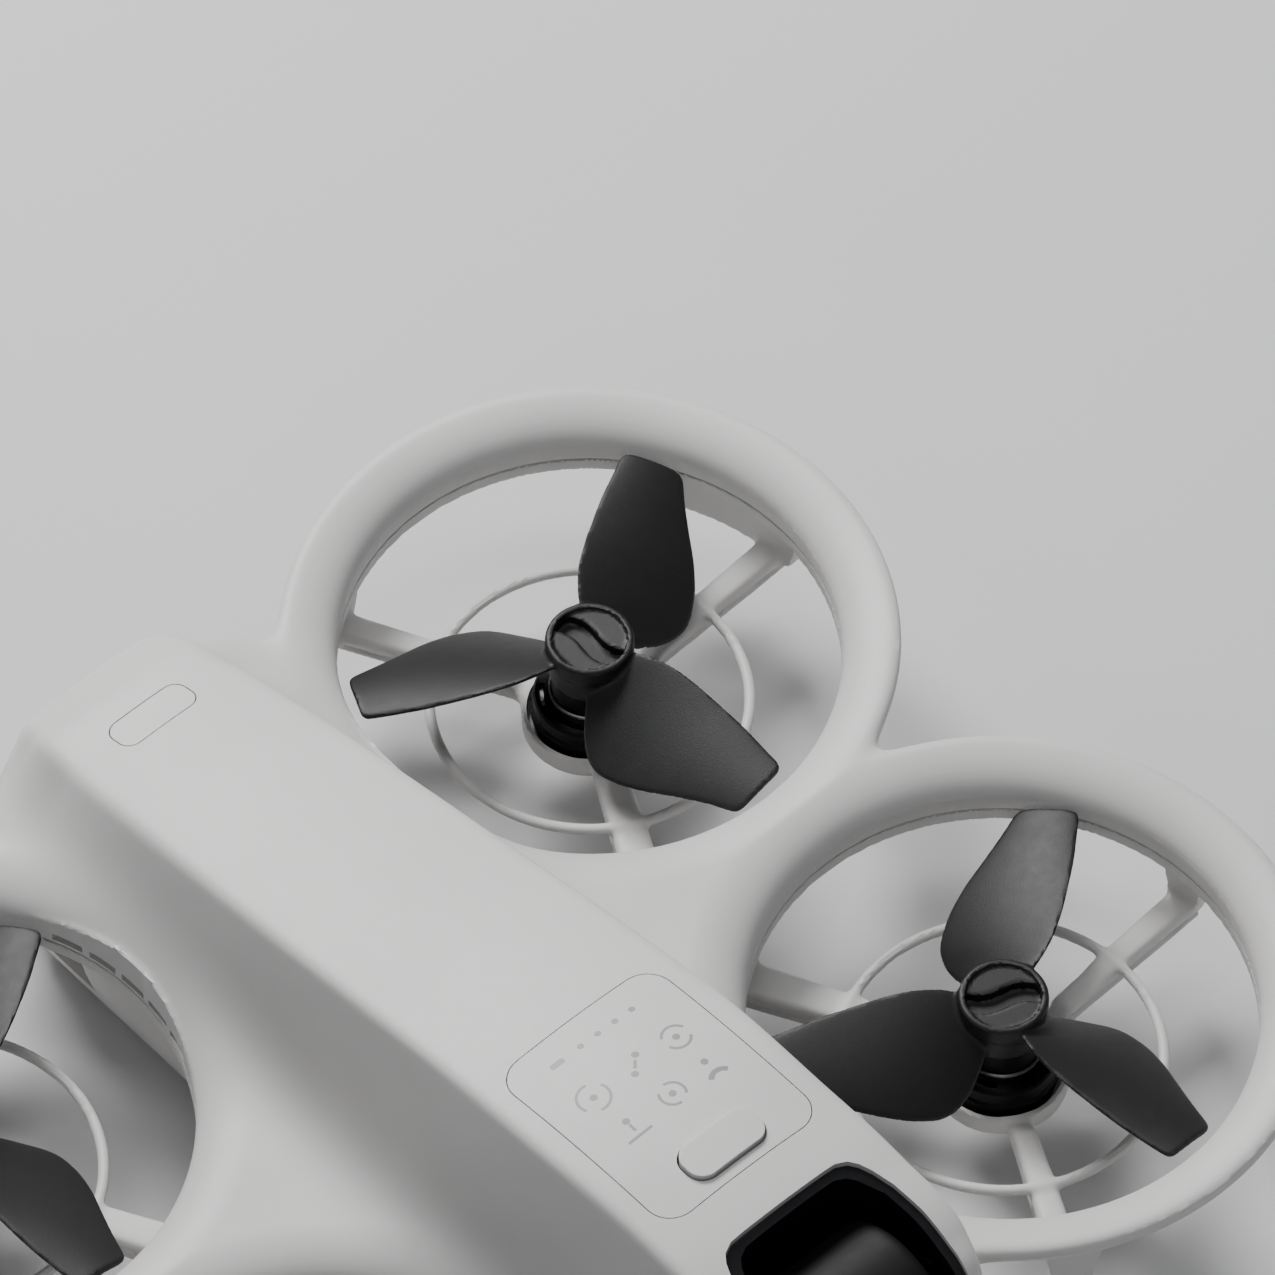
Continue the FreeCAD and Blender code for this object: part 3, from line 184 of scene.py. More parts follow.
def strut_field(u, v, z, half_in, half_out):
    """Rounded bar from the motor cup to the duct wall, wider and higher beyond the finger guard."""
    half = half_in + (half_out - half_in) * np.clip((u - 7.0) / 19.5, 0.0, 1.0)
    top = STRUT_TOP + 1.65 * smoothstep((u - 6.9) / 3.0) + 0.55 * smoothstep((u - 13.0) / 3.0)
    bar = smooth_max(np.abs(v) - half, z - top, 1.5)
    bar = smooth_max(bar, STRUT_FOOT - z, 0.5)
    groove = np.hypot(np.abs(v) - half - 0.05, z - 10.4) - 0.32
    bar = smooth_max(bar, -groove, 0.2)
    return np.maximum(bar, np.maximum(u - STRUT_END, 4.0 - u))


def seam_band(z):
    return np.abs(z - SEAM_BAND[0]) - SEAM_BAND[1]


def wall_field(r, turn, z, spread):
    """Duct wall below the seam, deeper beside each strut."""
    start, stop, start_run, stop_run = spread
    skirt = smooth_max(np.abs(r - SKIRT[0]) - SKIRT[1], seam_band(z), 0.3)
    depth = 0.0
    for angle in STRUTS:
        away = (turn - angle + 180.0) % 360.0 - 180.0
        beside = smoothstep((away - start) / start_run) * smoothstep((stop - away) / stop_run)
        depth = np.maximum(depth, beside)
    foot = SKIRT_FOOT - LEG_REACH * depth
    leg = smooth_max(np.abs(r - LEG[0]) - LEG[1], foot - z, 0.4)
    return np.minimum(skirt, np.maximum(leg, z - 17.6))


def mount_field(wired, spread):
    """Wall, finger guard, struts and motor cup of a port duct, about the duct's axis."""
    def field(x, y, z):
        r, turn = np.hypot(x, y), np.degrees(np.arctan2(y, x))
        arms = np.hypot(r - GUARD_R, z - GUARD_Z) - GUARD_HALF
        for angle in STRUTS:
            c, s = math.cos(math.radians(angle)), math.sin(math.radians(angle))
            halves = (1.7, 2.15) if angle == wired else (1.35, 1.65)
            arms = smooth_min(arms, strut_field(x * c + y * s, y * c - x * s, z, *halves), 0.8)
        cup = smooth_max(smooth_max(r - CUP_R, z - CUP_RIM, 0.4), CUP_FLOOR - z, 1.3)
        return smooth_min(smooth_min(wall_field(r, turn, z, spread), arms, 1.4), cup, 1.5)
    return field


def keel_field(x, y, z):
    """Lower hull: a tray with rounded corners that narrows towards its flat foot."""
    half, front = curve(LEVELS, z, 1), curve(LEVELS, z, 2)
    rear, corner = curve(LEVELS, z, 3), curve(LEVELS, z, 4)
    qx = np.abs(x) - (half - corner)
    qy = np.abs(y - (front + rear) / 2) - ((rear - front) / 2 - corner)
    outside = np.hypot(np.maximum(qx, 0), np.maximum(qy, 0))
    side = outside + np.minimum(np.maximum(qx, qy), 0) - corner
    return smooth_max(smooth_max(side * 0.85, z - 18.4, 0.3), -z, 0.4)


def frame_field(x, y, z):
    """Lower hull with the screw lugs under the saddles."""
    lug = smooth_max(np.abs(x) - LUG_HALF, np.abs(y - LUG_Y) - LUG_LENGTH, 2.5)
    lug = smooth_max(lug, seam_band(z), 0.3)
    return smooth_min(keel_field(x, y, z), lug, 2.4)


def blade_field(u, v, z):
    """One cambered paddle blade with a straight-cut tip."""
    lead, trail = curve(BLADE, u, 1), curve(BLADE, u, 2)
    slope = np.tan(np.radians(curve(BLADE, u, 3)))
    w = np.clip((2 * v - lead - trail) / (lead - trail), -1.2, 1.2)
    arch = np.clip(1 - w * w, 0.0, 1.0)
    middle = BLADE_HEIGHT + v * slope + BLADE_CAMBER * (lead - trail) * (1 - w * w)
    thick = BLADE_EDGE + BLADE_BELLY * np.sqrt(arch)
    sheet = (np.abs(z - middle) - thick) / np.sqrt(1 + slope * slope)
    plan = smooth_max(smooth_max(v - lead, trail - v, 0.5), u - BLADE_TIP, 1.6)
    return np.maximum(smooth_max(sheet, plan, 0.3), 1.0 - u)


def propeller_field(x, y, z):
    """Anticlockwise propeller with its first blade along +X and a wavy driver slot in its hub."""
    r = np.hypot(x, y)
    hub = smooth_max(r - HUB_R + 0.4 * smoothstep((21.0 - z) / 1.6), z - HUB_TOP, 0.7)
    hub = smooth_max(hub, HUB_FOOT - z, 0.3)
    dish = smooth_max(r - DISH_R, DISH_FLOOR - z, 0.25)
    hub = smooth_max(hub, -dish, 0.3)
    c, s = math.cos(math.radians(SLOT_TURN)), math.sin(math.radians(SLOT_TURN))
    p, q = x * c + y * s, y * c - x * s
    slot = smooth_max(np.abs(q + 0.5 * np.sin(p * 0.8)) - SLOT_HALF, r - SLOT_REACH, 0.6)
    hub = smooth_max(hub, -np.maximum(slot, SLOT_FLOOR - z), 0.3)
    blades = None
    for index in range(3):
        c, s = math.cos(2 * math.pi * index / 3), math.sin(2 * math.pi * index / 3)
        blade = blade_field(x * c + y * s, y * c - x * s, z)
        blades = blade if blades is None else np.minimum(blades, blade)
    blades = np.maximum(blades, BLADE_ROOT - r)
    return smooth_min(hub, blades, 0.9)


def housing_field(x, y, z):
    """Camera body about the tilt axis: a short drum with a round snout."""
    drum = smooth_max(np.hypot(y, z) - DRUM_R, np.abs(x) - DRUM_HALF, 2.2)
    half = SNOUT_REACH / 2
    snout = smooth_max(np.hypot(x, z) - SNOUT_R, np.abs(y + half) - half, 1.0)
    return smooth_min(drum, snout, 1.4)


def grid_step(full):
    """Spacing of a sampling grid: the full spacing, returned as given."""
    return full


def surface_of(field, low, high, step, name, passes=4):
    """Closed mesh on the zero surface of a field, with its points drawn onto the exact surface."""
    axes = [np.arange(a, b + step, step, dtype=np.float32) for a, b in zip(low, high)]
    x, y, z = np.meshgrid(*axes, indexing="ij", sparse=True)
    values = np.zeros([len(a) for a in axes])
    values += field(x, y, z)
    grid = openvdb.FloatGrid(5.0)
    grid.copyFromArray(values)
    points, triangles, quads = grid.convertToPolygons(isovalue=0.0, adaptivity=0.0)
    points = points.astype(np.float64) * step + np.array(low)
    reach = 0.02
    for _ in range(passes):
        f = field(points[:, 0], points[:, 1], points[:, 2])
        g = np.empty_like(points)
        for axis in range(3):
            ahead, behind = points.copy(), points.copy()
            ahead[:, axis] += reach
            behind[:, axis] -= reach
            g[:, axis] = (field(*ahead.T) - field(*behind.T)) / (2 * reach)
        size = np.maximum((g * g).sum(1), 0.05)
        move = -(f / size)[:, None] * g
        length = np.maximum(np.linalg.norm(move, axis=1, keepdims=True), 1e-9)
        points += move * np.minimum(1.0, 0.25 / length)
    mesh = bpy.data.meshes.new(name)
    faces = [tuple(q) for q in quads] + [tuple(t) for t in triangles]
    mesh.from_pydata((points * MM).tolist(), [], faces)
    mesh.update()
    return mesh


# ---------------------------------------------------------------- materials
def new_material(name):
    material = bpy.data.materials.new(name)
    material.use_nodes = True
    tree = material.node_tree
    shader = tree.nodes["Principled BSDF"]
    return material, tree, shader


def noise_node(tree, scale, detail=4.0, roughness=0.6, coords=None):
    if coords is None:
        coords = tree.nodes.new("ShaderNodeTexCoord").outputs["Object"]
    node = tree.nodes.new("ShaderNodeTexNoise")
    node.inputs["Scale"].default_value = scale
    node.inputs["Detail"].default_value = detail
    node.inputs["Roughness"].default_value = roughness
    tree.links.new(coords, node.inputs["Vector"])
    return node


def ramp(tree, source, low, high, a=0.35, b=0.65):
    node = tree.nodes.new("ShaderNodeValToRGB")
    node.color_ramp.elements[0].position = a
    node.color_ramp.elements[1].position = b
    node.color_ramp.elements[0].color = (*low, 1)
    node.color_ramp.elements[1].color = (*high, 1)
    tree.links.new(source, node.inputs["Fac"])
    return node


def value_range(tree, source, low, high):
    node = tree.nodes.new("ShaderNodeMapRange")
    node.inputs["To Min"].default_value = low
    node.inputs["To Max"].default_value = high
    tree.links.new(source, node.inputs["Value"])
    return node


def add_bump(tree, shader, source, distance, strength=1.0):
    node = tree.nodes.new("ShaderNodeBump")
    node.inputs["Strength"].default_value = strength
    node.inputs["Distance"].default_value = distance
    tree.links.new(source, node.inputs["Height"])
    tree.links.new(node.outputs["Normal"], shader.inputs["Normal"])
    return node


def colour_and_sheen(tree, shader, colour_noise, sheen_noise, dark, light, rough):
    """Base colour and roughness that drift with two noises."""
    tone = ramp(tree, colour_noise.outputs["Fac"], dark, light)
    tree.links.new(tone.outputs["Color"], shader.inputs["Base Color"])
    spread = value_range(tree, sheen_noise.outputs["Fac"], *rough)
    tree.links.new(spread.outputs["Result"], shader.inputs["Roughness"])


def moulded(name, dark, light, rough=(0.45, 0.6), grain=9000.0, depth=0.00001, specular=0.5):
    """Moulded plastic: slow colour drift, uneven sheen and a fine spark-eroded grain."""
    material, tree, shader = new_material(name)
    coords = tree.nodes.new("ShaderNodeTexCoord").outputs["Object"]
    slow = noise_node(tree, 45.0, 3.0, 0.5, coords)
    sheen = noise_node(tree, 700.0, 3.0, 0.6, coords)
    colour_and_sheen(tree, shader, slow, sheen, dark, light, rough)
    fine = noise_node(tree, grain, 2.0, 0.7, coords)
    add_bump(tree, shader, fine.outputs["Fac"], depth)
    shader.inputs["Specular IOR Level"].default_value = specular
    return material


def metal(name, dark, light, rough=(0.25, 0.45), grain=2500.0):
    """Turned metal: fine marks that run around the upright axis."""
    material, tree, shader = new_material(name)
    coords = tree.nodes.new("ShaderNodeTexCoord").outputs["Object"]
    turn = tree.nodes.new("ShaderNodeMapping")
    turn.inputs["Scale"].default_value = (1.0, 1.0, 12.0)
    tree.links.new(coords, turn.inputs["Vector"])
    lines = noise_node(tree, grain, 2.0, 0.6, turn.outputs["Vector"])
    colour_and_sheen(tree, shader, lines, lines, dark, light, rough)
    add_bump(tree, shader, lines.outputs["Fac"], 0.000004)
    shader.inputs["Metallic"].default_value = 1.0
    return material


def polished(name, dark, light, rough=(0.06, 0.14), coat=0.5):
    """Glossy black surface under a clear coat, with a faint haze."""
    material, tree, shader = new_material(name)
    haze = noise_node(tree, 300.0, 3.0, 0.6)
    colour_and_sheen(tree, shader, haze, haze, dark, light, rough)
    shader.inputs["Coat Weight"].default_value = coat
    shader.inputs["Coat Roughness"].default_value = 0.04
    return material


MATERIALS = {
    "shell_plastic": moulded("shell_plastic", (0.575, 0.565, 0.55), (0.615, 0.605, 0.59), (0.42, 0.52)),
    "frame_plastic": moulded("frame_plastic", (0.575, 0.565, 0.55), (0.615, 0.605, 0.59), (0.45, 0.55)),
    "battery_plastic": moulded("battery_plastic", (0.45, 0.44, 0.425), (0.49, 0.48, 0.465), (0.45, 0.55)),
    "propeller_plastic": moulded("propeller_plastic", (0.0085, 0.0085, 0.009), (0.0125, 0.0125, 0.013),
                                 (0.4, 0.52), 6000.0, 0.00002, 0.3),
    "black_plastic": moulded("black_plastic", (0.004, 0.004, 0.004), (0.007, 0.007, 0.007), (0.5, 0.62),
                             9000.0, 0.000004, 0.2),
    "camera_black": polished("camera_black", (0.004, 0.004, 0.005), (0.007, 0.007, 0.008)),
    "dark_window": polished("dark_window", (0.008, 0.004, 0.006), (0.012, 0.006, 0.01)),
    "light_window": moulded("light_window", (0.2, 0.2, 0.195), (0.23, 0.23, 0.225), (0.35, 0.45)),
    "lens_glass": polished("lens_glass", (0.004, 0.006, 0.014), (0.008, 0.006, 0.02), (0.01, 0.03), 1.0),
    "motor_metal": metal("motor_metal", (0.008, 0.008, 0.009), (0.015, 0.015, 0.016), (0.36, 0.52)),
    "winding_copper": metal("winding_copper", (0.4, 0.15, 0.06), (0.6, 0.26, 0.11), (0.25, 0.4)),
    "magnet_metal": metal("magnet_metal", (0.35, 0.35, 0.36), (0.45, 0.45, 0.46)),
    "screw_steel": metal("screw_steel", (0.2, 0.2, 0.21), (0.32, 0.32, 0.33)),
    "bracket_metal": metal("bracket_metal", (0.03, 0.03, 0.032), (0.05, 0.05, 0.052)),
    "shield_metal": metal("shield_metal", (0.5, 0.5, 0.5), (0.62, 0.62, 0.62)),
    "heat_sink_metal": metal("heat_sink_metal", (0.42, 0.42, 0.44), (0.55, 0.55, 0.57)),
    "contact_metal": metal("contact_metal", (0.65, 0.45, 0.16), (0.8, 0.58, 0.25)),
    "cell_foil": metal("cell_foil", (0.45, 0.45, 0.47), (0.6, 0.6, 0.62)),
    "circuit_board": moulded("circuit_board", (0.008, 0.06, 0.03), (0.012, 0.09, 0.045), (0.3, 0.4)),
    "damper_rubber": moulded("damper_rubber", (0.012, 0.012, 0.012), (0.02, 0.02, 0.02), (0.6, 0.8)),
}

SLOT_OF = {entry["node"]: entry["material_slot"] for entry in frame["record"]["subparts"]}
for node, obj in NODES.items():
    obj.data.materials.clear()
    obj.data.materials.append(MATERIALS[SLOT_OF[node]])


# ---------------------------------------------------------------- mesh tools
def mesh_from(points, faces, name):
    mesh = bpy.data.meshes.new(name)
    mesh.from_pydata([tuple(p) for p in points], [], faces)
    mesh.update()
    return mesh


def prism_mesh(outline, z0, z1, name="prism"):
    """Upright closed prism over an anticlockwise outline; a height may be a function of (x, y)."""
    count = len(outline)
    top = [(x, y, z1(x, y) if callable(z1) else z1) for x, y in outline]
    bottom = [(x, y, z0(x, y) if callable(z0) else z0) for x, y in outline]
    faces = [tuple(range(count - 1, -1, -1)), tuple(range(count, 2 * count))]
    for i in range(count):
        j = (i + 1) % count
        faces.append((i, j, count + j, count + i))
    points = [(x * MM, y * MM, z * MM) for x, y, z in bottom + top]
    return mesh_from(points, faces, name)


def rounded_outline(x0, x1, y0, y1, corner, steps=10):
    """Anticlockwise rectangle with round corners, each given by its centre and first angle."""
    centres = ((x1 - corner, y0 + corner, -90), (x1 - corner, y1 - corner, 0),
               (x0 + corner, y1 - corner, 90), (x0 + corner, y0 + corner, 180))
    line = []
    for cx, cy, start in centres:
        for i in range(steps + 1):
            a = math.radians(start + 90.0 * i / steps)
            line.append((cx + corner * math.cos(a), cy + corner * math.sin(a)))
    return line


def circle_outline(cx, cy, radius, steps=96):
    angles = [2 * math.pi * i / steps for i in range(steps)]
    return [(cx + radius * math.cos(a), cy + radius * math.sin(a)) for a in angles]


def turned_mesh(profile, steps, name, at=(0, 0, 0), axis="Z", ring=False):
    """Body turned from (radius, height) points: a ring from a closed loop, or a solid with flat ends."""
    points, faces = [], []
    count = len(profile)
    for i in range(steps):
        a = 2 * math.pi * i / steps
        for r, h in profile:
            if axis == "Z":
                p = (r * math.cos(a), r * math.sin(a), h)
            elif axis == "X":
                p = (h, r * math.cos(a), r * math.sin(a))
            else:
                p = (r * math.sin(a), h, r * math.cos(a))
            points.append(tuple((c + d) * MM for c, d in zip(p, at)))
    for i in range(steps):
        j = (i + 1) % steps
        for k in range(count if ring else count - 1):
            m = (k + 1) % count
            faces.append((i * count + k, j * count + k, j * count + m, i * count + m))
    if not ring:
        faces.append(tuple(i * count for i in range(steps - 1, -1, -1)))
        faces.append(tuple(i * count + count - 1 for i in range(steps)))
    return mesh_from(points, faces, name)


def applied(holder):
    """Mesh of an object with its modifiers applied; the object itself is removed."""
    bpy.context.view_layer.update()
    graph = bpy.context.evaluated_depsgraph_get()
    result = bpy.data.meshes.new_from_object(holder.evaluated_get(graph), depsgraph=graph)
    bpy.data.objects.remove(holder)
    return result


def boolean(base, tools, operation):
    """Boolean of closed meshes; returns a new mesh."""
    scene = bpy.context.scene.collection
    holder = bpy.data.objects.new("holder", base)
    scene.objects.link(holder)
    helpers = []
    for tool in tools:
        helper = bpy.data.objects.new("helper", tool)
        scene.objects.link(helper)
        helpers.append(helper)
        modifier = holder.modifiers.new("boolean", "BOOLEAN")
        modifier.operation = operation
        modifier.solver = "MANIFOLD"
        modifier.object = helper
    result = applied(holder)
    for helper in helpers:
        bpy.data.objects.remove(helper)
    return result


def cut(base, *tools):
    return boolean(base, tools, "DIFFERENCE")


def common(base, *tools):
    return boolean(base, tools, "INTERSECT")


def join(base, *tools):
    return boolean(base, tools, "UNION")


def softened(mesh, width):
    """Copy of a mesh with its sharp edges rounded off."""
    holder = bpy.data.objects.new("holder", mesh)
    bpy.context.scene.collection.objects.link(holder)
    modifier = holder.modifiers.new("bevel", "BEVEL")
    modifier.width = width * MM
    modifier.segments = 3
    modifier.limit_method = "ANGLE"
    modifier.angle_limit = math.radians(50)
    return applied(holder)


def piece(name, mesh, slot_name, body, replaced=(), angle=32.0):
    """Visible object from a mesh: edges sharper than the angle stay sharp."""
    mesh.materials.clear()
    mesh.materials.append(MATERIALS[slot_name])
    mesh.polygons.foreach_set("material_index", np.zeros(len(mesh.polygons), np.int32))
    mesh.shade_smooth()
    mesh.set_sharp_from_angle(angle=math.radians(angle))
    obj = bpy.data.objects.new(name, mesh)
    mesh.name = name
    bpy.context.scene.collection.objects.link(obj)
    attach(obj, body)
    if replaced:
        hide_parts(*replaced)
    return obj


# ---------------------------------------------------------------- upper shell with its inlays
# left, right, front and rear edges in plan
PANEL = (-10.4, 10.4, -40.4, -14.5)
MODE = (-4.8, 4.8, -39.0, -34.5)
POWER = (-4.9, 4.9, 48.1, 52.1)
# corner radius of each, and the gap around it in the shell
PANEL_CORNER, MODE_CORNER, POWER_CORNER = 3.0, 1.9, 1.5
PANEL_GAP, MODE_GAP, POWER_GAP = 0.12, 0.22, 0.14
PANEL_THICK, MARK_DEPTH, MODE_RAISE = 1.3, 0.35, 0.6
MODE_FOOT, POWER_FOOT = 46.6, 30.4
WALL = 1.5
ROOM_FRONT, ROOM_REAR = -44.4, 57.0
# half width, front and rear of the thicker ledge that carries the panel
LEDGE_HALF, LEDGE_FRONT, LEDGE_REAR = 11.8, -41.9, -13.0
NOTCH_FLOOR, LINER_GAP, LINER_THICK = 22.2, 0.02, 1.1
VENT_COUNT, VENT_START, VENT_PITCH, VENT_LENGTH = 5, 22.2, 4.3, 3.4
VENT_INNER, VENT_OUTER = 15.0, 22.5
# reach of a cut that has to clear the whole body
FAR = 60.0


def opening(box, corner, gap):
    """Outline of the opening around a plate, a gap wider on every side."""
    return rounded_outline(box[0] - gap, box[1] + gap, box[2] - gap, box[3] + gap, corner + gap)


def panel_floor(drop):
    """Height of a plane that lies below the panel's surface by a given drop."""
    front, rear = 48.27, 46.31
    slope = (rear - front) / (PANEL[3] - PANEL[2])
    return lambda x, y: front + (y - PANEL[2]) * slope - drop


def notch_outline(grow=0.0):
    """Plan outline of the camera notch: rounded rear corners, sides that bow out a little."""
    side = [(9.7, -70.0), (9.8, -65.0), (10.4, -60.0), (10.45, -55.0), (10.1, -51.0), (9.5, -48.6),
            (8.9, -47.2), (8.2, -46.3), (7.0, -45.75), (5.5, -45.7)]
    right = [(x + grow, y + (grow if y > -50 else 0)) for x, y in side]
    left = [(-x, y) for x, y in reversed(right)]
    return right + left


solid = surface_of(outer_field, (-80, -67, 16.5), (80, 66.5, 50.5), grid_step(0.45), "solid")


def inner_field(x, y, z):
    """Hollow of the hull, kept away from the camera notch and from under the panel."""
    room = smooth_max(hull_field(x, y, z) + WALL, ROOM_FRONT - y, 1.0)
    room = smooth_max(room, y - ROOM_REAR, 1.0)
    ledge = np.maximum(np.abs(x) - LEDGE_HALF, np.maximum(LEDGE_FRONT - y, y - LEDGE_REAR))
    ledge = np.maximum(ledge, panel_floor(2.0)(x, y) - z)
    return np.maximum(room, -ledge)


room = surface_of(inner_field, (-20, -47, 15.5), (20, 60, 50), grid_step(0.8), "room", 3)
seam_block = prism_mesh([(-90, -80), (90, -80), (90, 80), (-90, 80)], 0.0, SEAM)
bores = [prism_mesh(circle_outline(cx, cy, THROAT, 256), 10.0, FAR) for cx, cy in RINGS.values()]
outer_solid = cut(solid, seam_block, *bores)

vents = []
for side in (-1, 1):
    for index in range(VENT_COUNT):
        y = VENT_START + VENT_PITCH * index
        x0, x1 = sorted((side * VENT_INNER, side * VENT_OUTER))
        slot = rounded_outline(x0, x1, y, y + VENT_LENGTH, 0.4, 3)
        vents.append(prism_mesh(slot, SEAM + 0.3, SEAM + 1.3))
pocket = turned_mesh([(4.2, 8.7), (4.2, 13.7)], 48, "pocket", AXLE, "X")
panel_opening = prism_mesh(opening(PANEL, PANEL_CORNER, PANEL_GAP), panel_floor(PANEL_THICK), FAR)
mode_opening = prism_mesh(opening(MODE, MODE_CORNER, MODE_GAP), 30.0, FAR)
power_opening = prism_mesh(opening(POWER, POWER_CORNER, POWER_GAP), 20.0, FAR)
shell = cut(outer_solid, room, prism_mesh(notch_outline(), NOTCH_FLOOR, 70.0),
            panel_opening, mode_opening, power_opening, pocket, *vents)
piece("shell_top", shell, "shell_plastic", "airframe", ("upper_shell",))


def shifted(mesh, dz):
    """Copy of a mesh moved up."""
    copy = mesh.copy()
    copy.transform(Matrix.Translation((0, 0, dz * MM)))
    return copy


lowered = shifted(outer_solid, -0.7)
liner = cut(prism_mesh(notch_outline(-LINER_GAP), NOTCH_FLOOR + LINER_GAP, 70.0),
            prism_mesh(notch_outline(-LINER_THICK), NOTCH_FLOOR + LINER_THICK, 71.0))
liner = cut(common(liner, lowered), pocket)
piece("camera_room", liner, "camera_black", "airframe", ("cavity_liner",))

panel = common(outer_solid,
               prism_mesh(rounded_outline(*PANEL, PANEL_CORNER), panel_floor(PANEL_THICK), FAR))
# middle and half length of the level bar and of its four dots
LIGHTS = [(-4.95, 0.9), (-1.85, 0.38), (0.45, 0.38), (2.75, 0.38), (5.05, 0.38)]
light_outlines = [rounded_outline(x - half, x + half, -18.15, -17.45, 0.34, 6) for x, half in LIGHTS]


def arc_band(cx, cy, radius, start, stop, half=0.16, steps=14):
    """Curved stroke of a pictogram."""
    angles = [math.radians(start + (stop - start) * i / steps) for i in range(steps + 1)]
    outer = [(cx + (radius + half) * math.cos(a), cy + (radius + half) * math.sin(a)) for a in angles]
    inner = [(cx + (radius - half) * math.cos(a), cy + (radius - half) * math.sin(a)) for a in angles]
    return outer + inner[::-1]


def stroke(x0, y0, x1, y1, half=0.17):
    """Straight stroke of a pictogram."""
    length = math.hypot(x1 - x0, y1 - y0)
    nx, ny = -(y1 - y0) / length * half, (x1 - x0) / length * half
    return [(x0 - nx, y0 - ny), (x1 - nx, y1 - ny), (x1 + nx, y1 + ny), (x0 + nx, y0 + ny)]


# six plain pictograms: three rings about a dot, two linked dots, a dot over an arc, a dot over a line
DOTS = ((5.8, -23.6), (-5.3, -23.6), (0.64, -28.75), (1.26, -22.5), (-0.43, -24.35), (5.7, -27.9),
        (-5.0, -28.1))
# centre, radius and first angle of each broken ring
BROKEN_RINGS = ((5.8, -23.6, 1.5, 20), (-5.3, -23.6, 1.75, 75), (0.64, -28.75, 1.4, 140))
MARKS = [circle_outline(x, y, 0.42, 16) for x, y in DOTS]
for cx, cy, radius, turn in BROKEN_RINGS:
    MARKS += [arc_band(cx, cy, radius, turn + part, turn + part + 130) for part in (0, 180)]
MARKS += [stroke(0.8, -23.0, 0.05, -23.83), arc_band(5.75, -30.9, 1.35, 35, 145, 0.3),
          stroke(-5.02, -28.6, -5.05, -29.6), stroke(-6.6, -30.3, -3.5, -30.3)]
panel = cut(panel, mode_opening,
            *[prism_mesh(line, 30.0, FAR) for line in light_outlines],
            *[prism_mesh(line, panel_floor(MARK_DEPTH), FAR) for line in MARKS])
piece("key_panel", panel, "shell_plastic", "airframe", ("control_panel",))


def inlay(outlines, depth):
    """Flush windows over several outlines, as one mesh."""
    whole = None
    for line in outlines:
        window = common(outer_solid, prism_mesh(line, panel_floor(depth), FAR))
        whole = window if whole is None else join(whole, window)
    return whole


lights = inlay(light_outlines, PANEL_THICK)
piece("level_lights", lights, "light_window", "airframe", ("status_lights",))
piece("panel_marks", inlay(MARKS, MARK_DEPTH), "light_window", "airframe")

mode_key = common(shifted(outer_solid, MODE_RAISE),
                  prism_mesh(rounded_outline(*MODE, MODE_CORNER), MODE_FOOT, FAR))
piece("mode_key", softened(mode_key, 0.4), "shell_plastic", "mode_key", ("mode_button",))
power_key = common(outer_solid, prism_mesh(rounded_outline(*POWER, POWER_CORNER), POWER_FOOT, FAR))
piece("power_key", softened(power_key, 0.22), "shell_plastic", "power_key", ("power_button",))


# ---------------------------------------------------------------- duct mounts and propellers
def placed(mesh, x, y, turn=0.0, mirror=None):
    """Copy of a mesh, mirrored in X or Y if asked, turned and set on a duct's axis."""
    copy = mesh.copy()
    if mirror:
        flip = (-1.0, 1.0, 1.0, 1.0) if mirror == "X" else (1.0, -1.0, 1.0, 1.0)
        copy.transform(Matrix.Diagonal(flip))
        copy.flip_normals()
    copy.transform(Matrix.Translation((x * MM, y * MM, 0)) @ Matrix.Rotation(math.radians(turn), 4, "Z"))
    return copy


# pitch radius, hole radius and directions of the motor screws
SCREW_CIRCLE, SCREW_R, SCREW_TURNS = 3.6, 0.55, (60.0, 180.0, 300.0)
screw_holes = []
for turn in SCREW_TURNS:
    c, s = math.cos(math.radians(turn)), math.sin(math.radians(turn))
    hole = circle_outline(SCREW_CIRCLE * c, SCREW_CIRCLE * s, SCREW_R, 24)
    screw_holes.append(prism_mesh(hole, 6.0, 9.0))
# seat of the motor in its cup
well = prism_mesh(circle_outline(0, 0, 6.6, 128), 8.6, 20.0)
mount_of = {}
for row, wired in WIRED_STRUT.items():
    body = surface_of(mount_field(wired, WALL_SPREAD[row]), (-29.4, -29.4, 6.9), (29.4, 29.4, 19.0),
                      grid_step(0.4), "mount", 3)
    mount_of[row] = cut(body, well, *screw_holes)

propeller = surface_of(propeller_field, (-26.4, -26.4, 15.0), (26.4, 26.4, 23.4),
                       grid_step(0.25), "propeller", 3)
# hollow above the bell, and the shaft's hole
propeller = cut(propeller, prism_mesh(circle_outline(0, 0, 6.7, 96), 10.0, HUB_FOOT),
                prism_mesh(circle_outline(0, 0, 0.76, 32), 10.0, 20.9))

# closed (radius, height) loops
BELL = [(0.77, 13.05), (0.77, 17.19), (3.9, 17.19), (4.0, 17.1), (4.0, 14.3), (4.12, 13.95), (4.5, 13.68),
        (5.35, 13.46), (5.72, 13.3), (5.93, 12.98), (5.95, 11.5), (6.16, 11.2), (6.18, 10.1), (6.05, 9.92),
        (5.56, 9.92), (5.56, 13.05)]
COLLAR = [(4.02, 13.9), (4.05, 14.25), (4.16, 14.33), (4.3, 14.22), (4.34, 14.0), (4.25, 13.8)]

